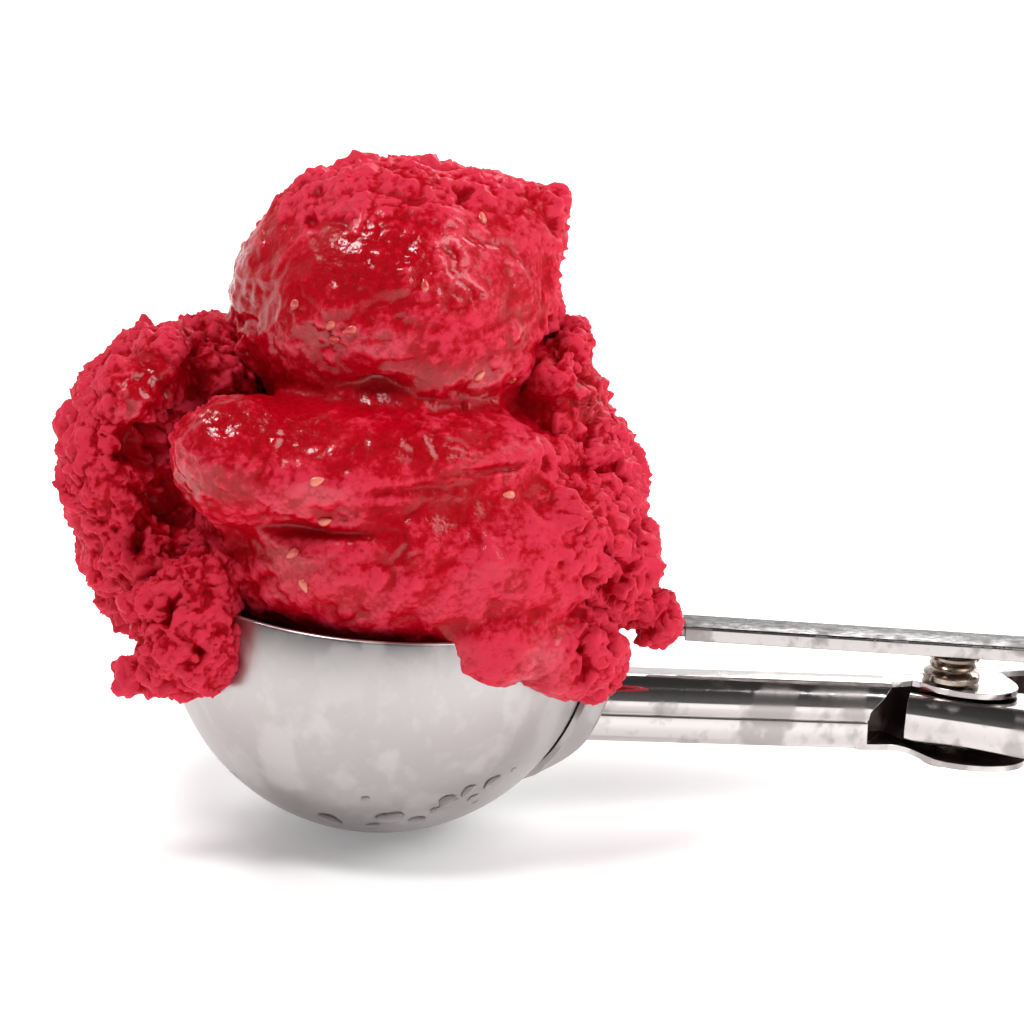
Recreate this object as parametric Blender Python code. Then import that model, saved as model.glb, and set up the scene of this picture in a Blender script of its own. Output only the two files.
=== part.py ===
"""Squeeze-handle ice cream scoop heaped with raspberry sorbet, lying on a table.

Frame: +Z up, the table at z = 0, the origin at the middle of the small flat
spot on which the bowl rests. +X runs along the handles, the bowl's mouth is up.
The steel parts are modelled in the scoop's own frame (origin at the centre of
the bowl's sphere, rim plane level) and pitched with it, because the scoop
lies on its round bowl and on the tails of its two handles.
"""
import math

import bmesh
import bpy
import numpy as np
from mathutils import Matrix, Vector

MM = 0.001
GAP = 0.3 * MM                      # air kept between touching pieces

# Bowl: a spun sheet, a little deeper than half a sphere
BOWL_RADIUS = 30.0 * MM
BOWL_WALL = 0.9 * MM
RIM_ABOVE_CENTRE = 5.6 * MM
REST_SPOT_RADIUS = 4.2 * MM
PITCH = math.radians(4.4)           # the handles' end lies lower than the bowl

# Bowl arm: folded box section with its seam along the near side
ARM_WIDTH = 7.0 * MM
ARM_TOP = -6.8 * MM
ARM_BOTTOM = -16.3 * MM
ARM_END_X = 74.0 * MM
SHEET = 1.0 * MM
SEAM_Z = -11.7 * MM
SEAM_LAP = 0.5 * MM                 # how far the upper fold stands proud

# Saddle that carries the bowl on the arm
SADDLE_EDGE = 0.8 * MM
SADDLE_ROOT = 3.7 * MM

# Pivot: one rivet, square to the rim plane
PIVOT = Vector((83.2 * MM, 1.5 * MM, 0.0))
RIVET_RADIUS = 2.0 * MM
EAR_RADIUS = 6.6 * MM
LOWER_EAR_RADIUS = 8.4 * MM
LOWER_EAR_DROP = 1.8 * MM

# Handles: channels folded from sheet, open towards each other
HANDLE_SHEET = 0.9 * MM
HANDLE_CORNER = 2.6 * MM
HANDLE_STATIONS = 26
FAR_CORNER = 1.2 * MM
FAR_SPLAY = math.radians(20.0)
FAR_TURN_BACK = math.radians(14.5)
NEAR_SPLAY = math.radians(-20.5)
NEAR_GRIP = math.radians(-5.0)      # the near handle's heading at the grip
NEAR_TOP = -8.15 * MM               # the near handle's front, between the ears
NEAR_BOTTOM = -15.3 * MM
EAR_FLANGE = 8.5 * MM               # how deep the flanges are at the ears and the grip
GRIP_FLANGE = 6.5 * MM

# Rack arm: shallow channel that runs from the pivot to the bowl
BAR_WIDTH = 6.3 * MM
BAR_TOP = -0.4 * MM
BAR_DEPTH = 2.1 * MM
BAR_FRONT = -39.2 * MM
BAR_REAR = 25.0 * MM
BAR_ANGLE = math.radians(-5.4)
TONGUE_LENGTH = 4.6 * MM
TONGUE_WIDTH = 5.0 * MM
FOOT_START = 12.0 * MM              # the foot that is riveted to the near handle
FOOT_END = 23.0 * MM
FOOT_REACH = 5.0 * MM
FOOT_SEAT = -7.35 * MM

# The bowl's centre above the table, and where the handles' bottoms meet the table
CENTRE_HEIGHT = math.sqrt(BOWL_RADIUS ** 2 - REST_SPOT_RADIUS ** 2)
TAIL_X = (CENTRE_HEIGHT + ARM_BOTTOM * math.cos(PITCH)) / math.sin(PITCH) - GAP


def smooth(value, start, end):
    """Ease from 0 at start to 1 at end."""
    t = np.clip((value - start) / (end - start), 0.0, 1.0)
    return t * t * (3.0 - 2.0 * t)


def material(name, colour, roughness, metallic):
    """Return a Principled material with one colour."""
    made = bpy.data.materials.new(name)
    made.use_nodes = True
    shader = made.node_tree.nodes["Principled BSDF"]
    shader.inputs["Base Color"].default_value = (*colour, 1.0)
    shader.inputs["Roughness"].default_value = roughness
    shader.inputs["Metallic"].default_value = metallic
    return made


def empty(name, location, rotation, parent=None):
    """Return an empty that carries pieces."""
    made = bpy.data.objects.new(name, None)
    made.location = location
    made.rotation_euler = rotation
    made.parent = parent
    bpy.context.scene.collection.objects.link(made)
    return made


def add_mesh(name, bm, finish=None, parent=None):
    """Turn a bmesh into a named object with outward faces."""
    bmesh.ops.recalc_face_normals(bm, faces=bm.faces)
    mesh = bpy.data.meshes.new(name)
    bm.to_mesh(mesh)
    bm.free()
    made = bpy.data.objects.new(name, mesh)
    made.parent = parent
    if finish is not None:
        mesh.materials.append(finish)
        mesh.shade_smooth()
        mesh.set_sharp_from_angle(angle=math.radians(35.0))
    bpy.context.scene.collection.objects.link(made)
    return made


def as_guide(obj):
    """Mark an object as a cutter or a guide that isn't built."""
    obj.hide_render = True
    obj.display_type = "WIRE"
    return obj


def boolean(obj, other, operation):
    """Join another solid to obj, or cut it away."""
    modifier = obj.modifiers.new(operation.lower(), "BOOLEAN")
    modifier.operation = operation
    modifier.object = as_guide(other)


def sheet_solid(outer, inner, wrap=False):
    """Close the space between two point grids of one shape into a solid.

    Both grids are (rows, columns, 3). With wrap the last column joins the
    first, as round a tube; otherwise the side edges are closed too.
    """
    bm = bmesh.new()
    rows, columns = outer.shape[:2]
    skins = []
    for grid in (outer, inner):
        skins.append([[bm.verts.new(point) for point in row] for row in grid])
    across = columns if wrap else columns - 1
    for row in range(rows - 1):
        for column in range(across):
            following = (column + 1) % columns
            for skin in skins:
                bm.faces.new((skin[row][column], skin[row][following],
                              skin[row + 1][following], skin[row + 1][column]))
    for row in (0, rows - 1):
        for column in range(across):
            following = (column + 1) % columns
            bm.faces.new((skins[0][row][column], skins[0][row][following],
                          skins[1][row][following], skins[1][row][column]))
    if not wrap:
        for column in (0, columns - 1):
            for row in range(rows - 1):
                bm.faces.new((skins[0][row][column], skins[0][row + 1][column],
                              skins[1][row + 1][column], skins[1][row][column]))
    return bm


def turned(profile, segments):
    """Turn an (r, z) profile that starts and ends on the Z axis."""
    bm = bmesh.new()
    first = bm.verts.new((0.0, 0.0, profile[0][1]))
    last = bm.verts.new((0.0, 0.0, profile[-1][1]))
    turns = [2.0 * math.pi * step / segments for step in range(segments)]
    rings = [[bm.verts.new((r * math.cos(turn), r * math.sin(turn), z)) for turn in turns]
             for r, z in profile[1:-1]]
    for step in range(segments):
        following = (step + 1) % segments
        bm.faces.new((first, rings[0][step], rings[0][following]))
        bm.faces.new((last, rings[-1][step], rings[-1][following]))
        for lower, upper in zip(rings, rings[1:]):
            bm.faces.new((lower[step], lower[following], upper[following], upper[step]))
    return bm


def cylinder(radius, bottom, top, segments=32):
    """Return a solid cylinder about the Z axis."""
    return turned([(0.0, bottom), (radius, bottom), (radius, top), (0.0, top)], segments)


def arc(centre, radius, start, end, steps):
    """Points on an arc in a plane, angles in degrees."""
    angles = np.radians(np.linspace(start, end, steps + 1))
    return [(centre[0] + radius * math.cos(a), centre[1] + radius * math.sin(a)) for a in angles]


def prism(outline, low, high):
    """Extrude an outline in the XZ plane from y = low to y = high."""
    bm = bmesh.new()
    corners = [bm.verts.new((x, low, z)) for x, z in outline]
    face = bm.faces.new(corners)
    grown = bmesh.ops.extrude_face_region(bm, geom=[face])
    moved = [item for item in grown["geom"] if isinstance(item, bmesh.types.BMVert)]
    bmesh.ops.translate(bm, verts=moved, vec=(0.0, high - low, 0.0))
    return bm


def block(low, high):
    """Return a box from its lowest to its highest corner."""
    bm = bmesh.new()
    size = [b - a for a, b in zip(low, high)]
    middle = [(a + b) / 2.0 for a, b in zip(low, high)]
    place = Matrix.Translation(middle) @ Matrix.Diagonal((*size, 1.0))
    bmesh.ops.create_cube(bm, size=1.0, matrix=place)
    return bm


# ---------------------------------------------------------------- bowl

def bowl_profile(grow=0.0, inner_steps=8, outer_steps=10):
    """Profile of the bowl's wall, thickened by grow on both sides."""
    outside = BOWL_RADIUS + grow
    inside = BOWL_RADIUS - BOWL_WALL - grow
    rim = RIM_ABOVE_CENTRE
    lip = (outside - inside) / 2.0
    outer_end = math.degrees(math.asin(rim / outside))
    inner_end = math.degrees(math.asin(rim / inside))
    points = arc((0.0, 0.0), outside, -90.0, outer_end, outer_steps)
    reach = (points[-1][0] + math.sqrt(inside ** 2 - rim ** 2)) / 2.0
    points += arc((reach, rim), lip, 0.0, 180.0, 4)[1:-1]
    points += arc((0.0, 0.0), inside, inner_end, -90.0, inner_steps)
    points[0] = (0.0, -outside)
    points[-1] = (0.0, -inside)
    return points


def make_bowl(scoop, steel):
    """Spun bowl with a rounded lip and a small flat spot under it."""
    bowl = add_mesh("bowl", turned(bowl_profile(), 40), steel, scoop)
    reach = 3.0 * REST_SPOT_RADIUS
    below = block((-reach, -reach, -5.0 * MM), (reach, reach, 0.0))
    boolean(bowl, add_mesh("rest_spot_cutter", below), "DIFFERENCE")
    return bowl


def make_saddle(scoop, steel):
    """Leaf-shaped plate, thick at the arm, that hugs the bowl's outside."""
    rises = np.radians(np.linspace(-54.0, -9.0, 12))
    turns = np.linspace(-1.0, 1.0, 9)
    rise, turn = np.meshgrid(rises, turns, indexing="ij")
    degrees = np.degrees(rise)
    half = np.radians(2.0 + 17.0 * smooth(degrees, -56.0, -28.0) - 4.0 * smooth(degrees, -22.0, -9.0))
    side = turn * half
    root = smooth(degrees, -48.0, -26.0) * (1.0 - smooth(np.degrees(np.abs(side)), 8.5, 15.0))
    thick = SADDLE_EDGE + (SADDLE_ROOT - SADDLE_EDGE) * root
    direction = np.stack([np.cos(rise) * np.cos(side), np.cos(rise) * np.sin(side), np.sin(rise)], -1)
    inner = direction * (BOWL_RADIUS + GAP)
    outer = direction * (BOWL_RADIUS + GAP + thick)[..., None]
    return add_mesh("saddle", sheet_solid(outer, inner), steel, scoop)


# ---------------------------------------------------------------- arm and handles

def arm_section():
    """Outer and inner loops (y, z) of the arm's folded box section."""
    half = ARM_WIDTH / 2.0
    small = 1.2 * MM
    large = 3.6 * MM
    proud = -half - SEAM_LAP
    under = -half + 0.2 * MM
    outer = arc((half - small, ARM_TOP - small), small, 0.0, 90.0, 3)
    outer += arc((proud + large, ARM_TOP - large), large, 90.0, 180.0, 6)
    outer += [(proud, SEAM_Z + 0.1 * MM), (under, SEAM_Z),
              (under, SEAM_Z - 0.4 * MM), (-half, SEAM_Z - 0.5 * MM)]
    outer += arc((-half + small, ARM_BOTTOM + small), small, 180.0, 270.0, 3)
    outer += arc((half - small, ARM_BOTTOM + small), small, 270.0, 360.0, 3)
    within = half - SHEET
    tight = 0.3 * MM
    curl = large - SHEET - SEAM_LAP
    top = ARM_TOP - SHEET
    bottom = ARM_BOTTOM + SHEET
    inner = arc((within - tight, top - tight), tight, 0.0, 90.0, 3)
    inner += arc((-within + curl, top - curl), curl, 90.0, 180.0, 6)
    inner += [(-within, SEAM_Z + offset * MM) for offset in (0.1, 0.0, -0.4, -0.5)]
    inner += arc((-within + tight, bottom + tight), tight, 180.0, 270.0, 3)
    inner += arc((within - tight, bottom + tight), tight, 270.0, 360.0, 3)
    return np.array(outer), np.array(inner)


def channel(path, heading, top, bottom, depth_top, depth_bottom, side, corner=HANDLE_CORNER):
    """Channel of sheet along a plan path: web outside, flanges inside.

    path holds the web's outer face (x, y) at each station and side is +1
    or -1 for the side of the path on which the web lies.
    """
    steps = 3
    skins = []
    for offset in (0.0, HANDLE_SHEET):
        radius = corner - offset
        quarter = np.radians(np.linspace(90.0, 0.0, steps + 1))
        upper_in = -corner + radius * np.cos(quarter)
        upper_z = radius * np.sin(quarter)
        count = len(top)
        inward = np.concatenate([-depth_top[:, None],
                                 np.broadcast_to(upper_in, (count, steps + 1)),
                                 np.broadcast_to(upper_in[::-1], (count, steps + 1)),
                                 -depth_bottom[:, None]], axis=1)
        height = np.concatenate([(top - offset)[:, None],
                                 (top - corner)[:, None] + upper_z,
                                 (bottom + corner)[:, None] - upper_z[::-1],
                                 (bottom + offset)[:, None]], axis=1)
        normal = np.stack([-np.sin(heading), np.cos(heading)], axis=-1) * side
        plan = path[:, None, :] + normal[:, None, :] * inward[..., None]
        skins.append(np.concatenate([plan, height[..., None]], axis=-1))
    return sheet_solid(*skins)


def handle_path(start, end_x, heading_at):
    """Plan path of a handle from start to end_x; heading_at gives its angle by distance along X."""
    distance = np.linspace(0.0, end_x - start[0], HANDLE_STATIONS)
    heading = heading_at(distance)
    middle = (heading[1:] + heading[:-1]) / 2.0
    y = start[1] + np.concatenate([[0.0], np.cumsum(np.tan(middle) * distance[1])])
    return distance, heading, np.stack([start[0] + distance, y], axis=-1)


def make_bowl_arm(scoop, steel):
    """Arm, pivot ears and far handle, folded from one sheet."""
    outer, inner = arm_section()
    stations = np.linspace(26.0 * MM, ARM_END_X, 5)
    skins = [np.array([[(x, y, z) for y, z in loop] for x in stations]) for loop in (outer, inner)]
    arm = add_mesh("bowl_arm", sheet_solid(*skins, wrap=True), steel, scoop)

    ball = bmesh.new()
    bmesh.ops.create_uvsphere(ball, u_segments=28, v_segments=20,
                              radius=BOWL_RADIUS + SADDLE_ROOT + 3.0 * GAP)
    boolean(arm, add_mesh("saddle_clearance", ball, parent=scoop), "DIFFERENCE")
    mouth = [(70.7 * MM, -18.0 * MM), (70.3 * MM, SEAM_Z), (71.0 * MM, -9.6 * MM), (72.2 * MM, -7.6 * MM),
             (73.2 * MM, -5.0 * MM), (80.0 * MM, -5.0 * MM), (80.0 * MM, -18.0 * MM)]
    boolean(arm, add_mesh("arm_mouth", prism(mouth, -9.0 * MM, -1.2 * MM), parent=scoop), "DIFFERENCE")

    inset = 0.05 * MM
    start = (69.0 * MM, ARM_WIDTH / 2.0 - inset)
    distance, heading, path = handle_path(
        start, TAIL_X,
        lambda d: FAR_SPLAY * smooth(d, 1.0 * MM, 8.0 * MM) - FAR_TURN_BACK * smooth(d, 30.0 * MM, 75.0 * MM))
    along = path[:, 0]
    grip = smooth(along, 92.0 * MM, 104.0 * MM)
    dip = smooth(along, 73.0 * MM, 79.0 * MM) - grip
    ears = smooth(along, 76.0 * MM, 80.0 * MM)
    top = np.full_like(along, ARM_TOP - inset)
    bottom = ARM_BOTTOM + inset - (LOWER_EAR_DROP - inset) * dip
    depth_top = (3.9 * MM + (EAR_FLANGE - 3.9 * MM) * ears) * (1.0 - grip) + GRIP_FLANGE * grip
    depth_bottom = (6.8 * MM + (EAR_FLANGE - 6.8 * MM) * ears) * (1.0 - grip) + GRIP_FLANGE * grip
    far = channel(path, heading, top, bottom, depth_top, depth_bottom, 1.0, corner=FAR_CORNER)
    boolean(arm, add_mesh("far_channel", far, parent=scoop), "UNION")

    ear = add_mesh("upper_ear", cylinder(EAR_RADIUS, ARM_TOP - SHEET, ARM_TOP, 28), parent=scoop)
    ear.location = PIVOT
    boolean(arm, ear, "UNION")
    low = ARM_BOTTOM - LOWER_EAR_DROP
    ear = add_mesh("lower_ear", cylinder(LOWER_EAR_RADIUS, low, low + SHEET, 32), parent=scoop)
    ear.location = PIVOT
    boolean(arm, ear, "UNION")
    hole = add_mesh("ear_hole", cylinder(RIVET_RADIUS + GAP, -25.0 * MM, 0.0, 20), parent=scoop)
    hole.location = PIVOT
    boolean(arm, hole, "DIFFERENCE")
    return arm


def make_near_handle(lever, steel):
    """Near handle: a channel whose front end sits between the ears."""
    start = (-7.4 * MM, -5.0 * MM)
    distance, heading, path = handle_path(
        start, TAIL_X - PIVOT.x,
        lambda d: NEAR_SPLAY + (NEAR_GRIP - NEAR_SPLAY) * smooth(d, 22.5 * MM, 66.0 * MM))
    rise = smooth(distance, 15.0 * MM, 41.5 * MM)
    top = NEAR_TOP + (ARM_TOP - NEAR_TOP) * rise
    bottom = NEAR_BOTTOM + (ARM_BOTTOM - NEAR_BOTTOM) * rise
    foot = smooth(distance, 13.0 * MM, 19.7 * MM)
    grip = smooth(distance, 31.0 * MM, 43.3 * MM)
    depth_front = 9.6 * MM
    depth_foot = 11.5 * MM
    depth_top = depth_front + (depth_foot - depth_front) * foot - (depth_foot - GRIP_FLANGE) * grip
    depth_bottom = depth_front - (depth_front - GRIP_FLANGE) * foot
    handle = add_mesh("near_handle", channel(path, heading, top, bottom, depth_top, depth_bottom, -1.0),
                      steel, lever)
    nose = add_mesh("nose_cutter", nose_cutter(), parent=lever)
    boolean(handle, nose, "DIFFERENCE")
    hole = add_mesh("handle_hole", cylinder(RIVET_RADIUS + GAP, -20.0 * MM, 0.0, 20), parent=lever)
    boolean(handle, hole, "DIFFERENCE")
    return handle


def nose_cutter():
    """What rounds the flanges' front about the pivot, behind the web."""
    reach = 4.4 * MM
    far = 14.0 * MM
    outline = arc((0.0, 0.0), reach, 200.0, 75.0, 12)
    outline += [(4.0 * MM, far), (-far, far), (-far, outline[0][1])]
    bm = bmesh.new()
    face = bm.faces.new([bm.verts.new((x, y, -20.0 * MM)) for x, y in outline])
    grown = bmesh.ops.extrude_face_region(bm, geom=[face])
    moved = [item for item in grown["geom"] if isinstance(item, bmesh.types.BMVert)]
    bmesh.ops.translate(bm, verts=moved, vec=(0.0, 0.0, 20.0 * MM))
    return bm


# ---------------------------------------------------------------- rivet and rack arm

def make_rivet(lever, steel):
    """Pivot rivet: foot head, shank, flange, grooved stack and neck."""
    low = ARM_BOTTOM - LOWER_EAR_DROP
    base = ARM_TOP + GAP
    bar = BAR_TOP - BAR_DEPTH
    head = ((0.0, -1.5), (2.0, -1.4), (3.4, -0.9))
    stack = ((4.1, 0.0), (4.1, 0.9), (3.5, 1.1), (2.2, 1.2), (2.2, 1.6), (3.0, 1.7),
             (3.4, 2.1), (3.0, 2.5), (2.3, 2.7), (2.3, 3.1), (3.8, 3.2))
    profile = [(r * MM, low + rise * MM) for r, rise in head]
    profile += [(3.7 * MM, low - GAP), (RIVET_RADIUS, low - GAP), (RIVET_RADIUS, base)]
    profile += [(r * MM, base + rise * MM) for r, rise in stack]
    profile += [(3.8 * MM, bar - GAP), (0.0, bar - GAP)]
    return add_mesh("pivot_rivet", turned(profile, 20), steel, lever)


def make_rack_arm(lever, steel):
    """Shallow channel with a flat tongue in front and a foot at the rear."""
    half = BAR_WIDTH / 2.0
    low = BAR_TOP - BAR_DEPTH
    steps = [(-half, low), (-half, BAR_TOP - 0.5 * MM), (-half + 0.5 * MM, BAR_TOP),
             (half - 0.5 * MM, BAR_TOP), (half, BAR_TOP - 0.5 * MM), (half, low)]
    inside = [(-half + SHEET, low), (-half + SHEET, BAR_TOP - SHEET - 0.1 * MM),
              (-half + SHEET + 0.1 * MM, BAR_TOP - SHEET), (half - SHEET - 0.1 * MM, BAR_TOP - SHEET),
              (half - SHEET, BAR_TOP - SHEET - 0.1 * MM), (half - SHEET, low)]
    stations = np.linspace(BAR_FRONT, BAR_REAR, 5)
    skins = [np.array([[(x, y, z) for y, z in loop] for x in stations]) for loop in (steps, inside)]
    turned_frame = empty("rack_frame", (0.0, 0.0, 0.0), (0.0, 0.0, BAR_ANGLE), lever)
    bar = add_mesh("rack_arm", sheet_solid(*skins), steel, turned_frame)

    plate = block((-4.6 * MM, -half + 0.4 * MM, low + 0.05 * MM),
                  (4.6 * MM, half - 0.4 * MM, BAR_TOP - 0.9 * MM))
    boolean(bar, add_mesh("rivet_seat", plate, parent=turned_frame), "UNION")
    tip = BAR_FRONT - TONGUE_LENGTH
    tongue = block((tip, -TONGUE_WIDTH / 2.0, low + 0.3 * MM),
                   (BAR_FRONT + 6.0 * MM, TONGUE_WIDTH / 2.0, BAR_TOP - 0.3 * MM))
    boolean(bar, add_mesh("tongue", tongue, parent=turned_frame), "UNION")

    wall = block((FOOT_START, -half + 0.05 * MM, FOOT_SEAT),
                 (FOOT_END, -half + 1.05 * MM, BAR_TOP - 0.6 * MM))
    boolean(bar, add_mesh("foot_wall", wall, parent=turned_frame), "UNION")
    foot = block((FOOT_START + 0.1 * MM, -half - FOOT_REACH, FOOT_SEAT - 0.02 * MM),
                 (FOOT_END - 0.1 * MM, -half + 1.0 * MM, FOOT_SEAT + SHEET))
    boolean(bar, add_mesh("foot_plate", foot, parent=turned_frame), "UNION")
    rises = ((0.0, 0.5), (1.8, 0.5), (1.8, 1.3), (1.2, 1.7), (0.0, 1.85))
    button = turned([(r * MM, FOOT_SEAT + rise * MM) for r, rise in rises], 16)
    head = add_mesh("foot_rivet", button, parent=turned_frame)
    head.location = ((FOOT_START + FOOT_END) / 2.0, -half - FOOT_REACH / 2.0, 0.0)
    boolean(bar, head, "UNION")
    return bar


# ---------------------------------------------------------------- sorbet

# Each lobe: middle (x, y, z), half sizes (x, y, z), in millimetres above the table
LOBES = (
    ((0.5, 0.0, 31.0), (27.5, 27.5, 27.0)),       # what fills the bowl
    ((3.5, 0.0, 46.0), (32.0, 31.5, 21.0)),       # lower scoopful
    ((2.5, 0.5, 75.5), (22.8, 23.0, 19.5)),       # ball on top
    ((14.2, 1.0, 83.0), (13.0, 15.0, 9.8)),      # its square shoulder
    ((-2.0, -17.0, 57.0), (27.0, 13.5, 9.0)),     # smeared shelf under the ball
    ((7.0, -18.5, 45.5), (25.0, 13.5, 12.0)),     # front bulge
    ((-29.0, 3.0, 55.5), (15.3, 19.0, 16.3)),     # torn left mass
    ((-23.0, 4.0, 65.5), (8.5, 11.0, 7.0)),
    ((-27.5, 3.0, 42.0), (14.5, 19.0, 13.0)),
    ((-30.0, 0.0, 36.0), (11.0, 10.0, 7.8)),
    ((-27.8, -17.5, 35.4), (10.0, 8.5, 8.8)),      # drip over the lip
    ((-26.5, -16.5, 42.5), (6.5, 8.5, 7.0)),
    ((26.3, -1.0, 47.5), (11.8, 19.0, 13.0)),     # crumbly right side
    ((23.3, 1.0, 60.0), (9.0, 15.0, 9.0)),
    ((31.0, -9.0, 36.5), (7.0, 9.0, 6.0)),
    ((37.2, -11.5, 31.8), (4.0, 4.0, 4.8)),       # lump beside the rack arm
    ((15.0, -22.5, 33.8), (9.5, 8.5, 7.0)),       # overhang on the near right
    ((22.5, -19.0, 30.5), (9.0, 8.0, 7.0)),
    ((27.5, -15.0, 27.0), (6.5, 5.0, 6.0)),
)
LOBE_VOXEL = 2.0 * MM


def make_sorbet(scoop, food):
    """Heap of two scoopfuls with torn and dripping lobes, cut round the bowl."""
    bm = bmesh.new()
    for middle, half in LOBES:
        place = Matrix.Translation(Vector(middle) * MM) @ Matrix.Diagonal((*(Vector(half) * MM), 1.0))
        bmesh.ops.create_icosphere(bm, subdivisions=3, radius=1.0, matrix=place)
    heap = add_mesh("sorbet", bm, food)
    remesh = heap.modifiers.new("fuse", "REMESH")
    remesh.mode = "VOXEL"
    remesh.voxel_size = LOBE_VOXEL
    blend = heap.modifiers.new("blend", "SMOOTH")
    blend.factor = 0.5
    blend.iterations = 4
    texture = bpy.data.textures.new("crags", "CLOUDS")
    texture.noise_scale = 7.0 * MM
    texture.noise_depth = 1
    crags = heap.modifiers.new("crags", "DISPLACE")
    crags.texture = texture
    crags.texture_coords = "GLOBAL"
    crags.strength = 2.6 * MM
    crags.mid_level = 0.5
    thin = heap.modifiers.new("thin", "DECIMATE")
    thin.ratio = 0.3
    wall = add_mesh("bowl_clearance", turned(bowl_profile(grow=GAP), 40), parent=scoop)
    boolean(heap, wall, "DIFFERENCE")
    return heap


def clear_scene():
    """Remove whatever the file held."""
    for obj in list(bpy.data.objects):
        bpy.data.objects.remove(obj, do_unlink=True)


clear_scene()
brushed = material("brushed_steel", (0.60, 0.57, 0.56), 0.28, 1.0)
polished = material("polished_steel", (0.68, 0.65, 0.64), 0.12, 1.0)
raspberry = material("raspberry_sorbet", (0.52, 0.02, 0.05), 0.4, 0.0)

scoop_frame = empty("scoop_frame", (0.0, 0.0, CENTRE_HEIGHT), (0.0, PITCH, 0.0))
lever_frame = empty("lever_pivot", PIVOT, (0.0, 0.0, 0.0), scoop_frame)
make_bowl(scoop_frame, brushed)
make_saddle(scoop_frame, brushed)
make_bowl_arm(scoop_frame, polished)
make_near_handle(lever_frame, polished)
make_rivet(lever_frame, polished)
make_rack_arm(lever_frame, brushed)
make_sorbet(scoop_frame, raspberry)
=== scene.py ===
"""Steel squeeze-handle ice cream scoop, lying on its bowl and heaped with raspberry sorbet.

Lengths are in metres and +X runs along the handles. The sections follow the
object: the camera and studio, the steel bowl and handles, then the sorbet.
"""
import itertools
import math

import bmesh
import bpy
import numpy as np
from mathutils import Matrix, Vector
from mathutils.bvhtree import BVHTree


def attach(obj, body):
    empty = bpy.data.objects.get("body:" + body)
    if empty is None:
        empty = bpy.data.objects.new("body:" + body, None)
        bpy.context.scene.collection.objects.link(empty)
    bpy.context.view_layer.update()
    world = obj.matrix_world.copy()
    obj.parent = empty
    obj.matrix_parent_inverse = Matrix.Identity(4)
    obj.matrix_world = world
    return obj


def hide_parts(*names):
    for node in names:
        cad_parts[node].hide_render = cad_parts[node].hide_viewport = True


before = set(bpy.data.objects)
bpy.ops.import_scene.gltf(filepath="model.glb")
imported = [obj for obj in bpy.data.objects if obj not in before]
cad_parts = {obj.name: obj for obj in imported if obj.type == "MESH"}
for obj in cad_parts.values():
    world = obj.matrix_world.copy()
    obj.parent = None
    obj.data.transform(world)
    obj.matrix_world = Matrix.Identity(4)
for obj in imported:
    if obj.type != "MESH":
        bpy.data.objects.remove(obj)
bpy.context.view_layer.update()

MM = 0.001

# ---------------------------------------------------------------- camera and studio
# A long lens looks down a little on the scoop from its left front. The studio is a
# white paper sweep under four soft windows, in a room that is bright behind and at
# the right and dim elsewhere, so that the steel has something to mirror.

VIEW_TURN = math.radians(-7.0)
VIEW_RISE = math.radians(16.5)
VIEW_DISTANCE = 500.0 * MM
VIEW_TARGET = Vector((18.5, 0.0, 44.5)) * MM


def placed(name, data):
    """A new object that shows data, linked into the scene."""
    made = bpy.data.objects.new(name, data)
    bpy.context.scene.collection.objects.link(made)
    return made


towards_lens = Vector((math.sin(VIEW_TURN) * math.cos(VIEW_RISE),
                       -math.cos(VIEW_TURN) * math.cos(VIEW_RISE),
                       math.sin(VIEW_RISE)))
lens = bpy.data.cameras.new("camera")
lens.lens = 126.0
lens.clip_start = 0.01
camera = placed("camera", lens)
camera.location = VIEW_TARGET + towards_lens * VIEW_DISTANCE
camera.rotation_euler = (-towards_lens).to_track_quat("-Z", "Y").to_euler()
bpy.context.scene.camera = camera
bpy.context.scene.view_settings.view_transform = "Standard"


def area_light(name, place, aim, size, power):
    """A rectangular white soft light at place that faces aim."""
    data = bpy.data.lights.new(name, "AREA")
    data.shape = "RECTANGLE"
    data.size, data.size_y = size
    data.energy = power
    lamp = placed(name, data)
    lamp.location = place
    lamp.rotation_euler = (Vector(aim) - Vector(place)).to_track_quat("-Z", "Y").to_euler()


area_light("window", (-0.22, -0.16, 0.60), (0.0, 0.0, 0.05), (0.15, 0.12), 1.8)
area_light("left_window", (-0.30, 0.12, 0.48), (0.0, 0.0, 0.06), (0.14, 0.10), 0.8)
area_light("right_window", (0.45, -0.22, 0.46), (0.03, 0.0, 0.04), (0.34, 0.40), 2.5)
area_light("back_window", (0.35, 0.50, 0.36), (0.0, 0.0, 0.05), (0.4, 0.3), 2.0)


def ranged(tree, source, low, high, to_low, to_high):
    """Map source from low..high to to_low..to_high, eased."""
    node = tree.nodes.new("ShaderNodeMapRange")
    node.interpolation_type = "SMOOTHSTEP"
    for label, value in (("From Min", low), ("From Max", high), ("To Min", to_low), ("To Max", to_high)):
        node.inputs[label].default_value = value
    tree.links.new(source, node.inputs["Value"])
    return node.outputs[0]


def combined(tree, operation, first, second):
    """A maths node on two outputs."""
    node = tree.nodes.new("ShaderNodeMath")
    node.operation = operation
    tree.links.new(first, node.inputs[0])
    tree.links.new(second, node.inputs[1])
    return node.outputs[0]


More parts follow.
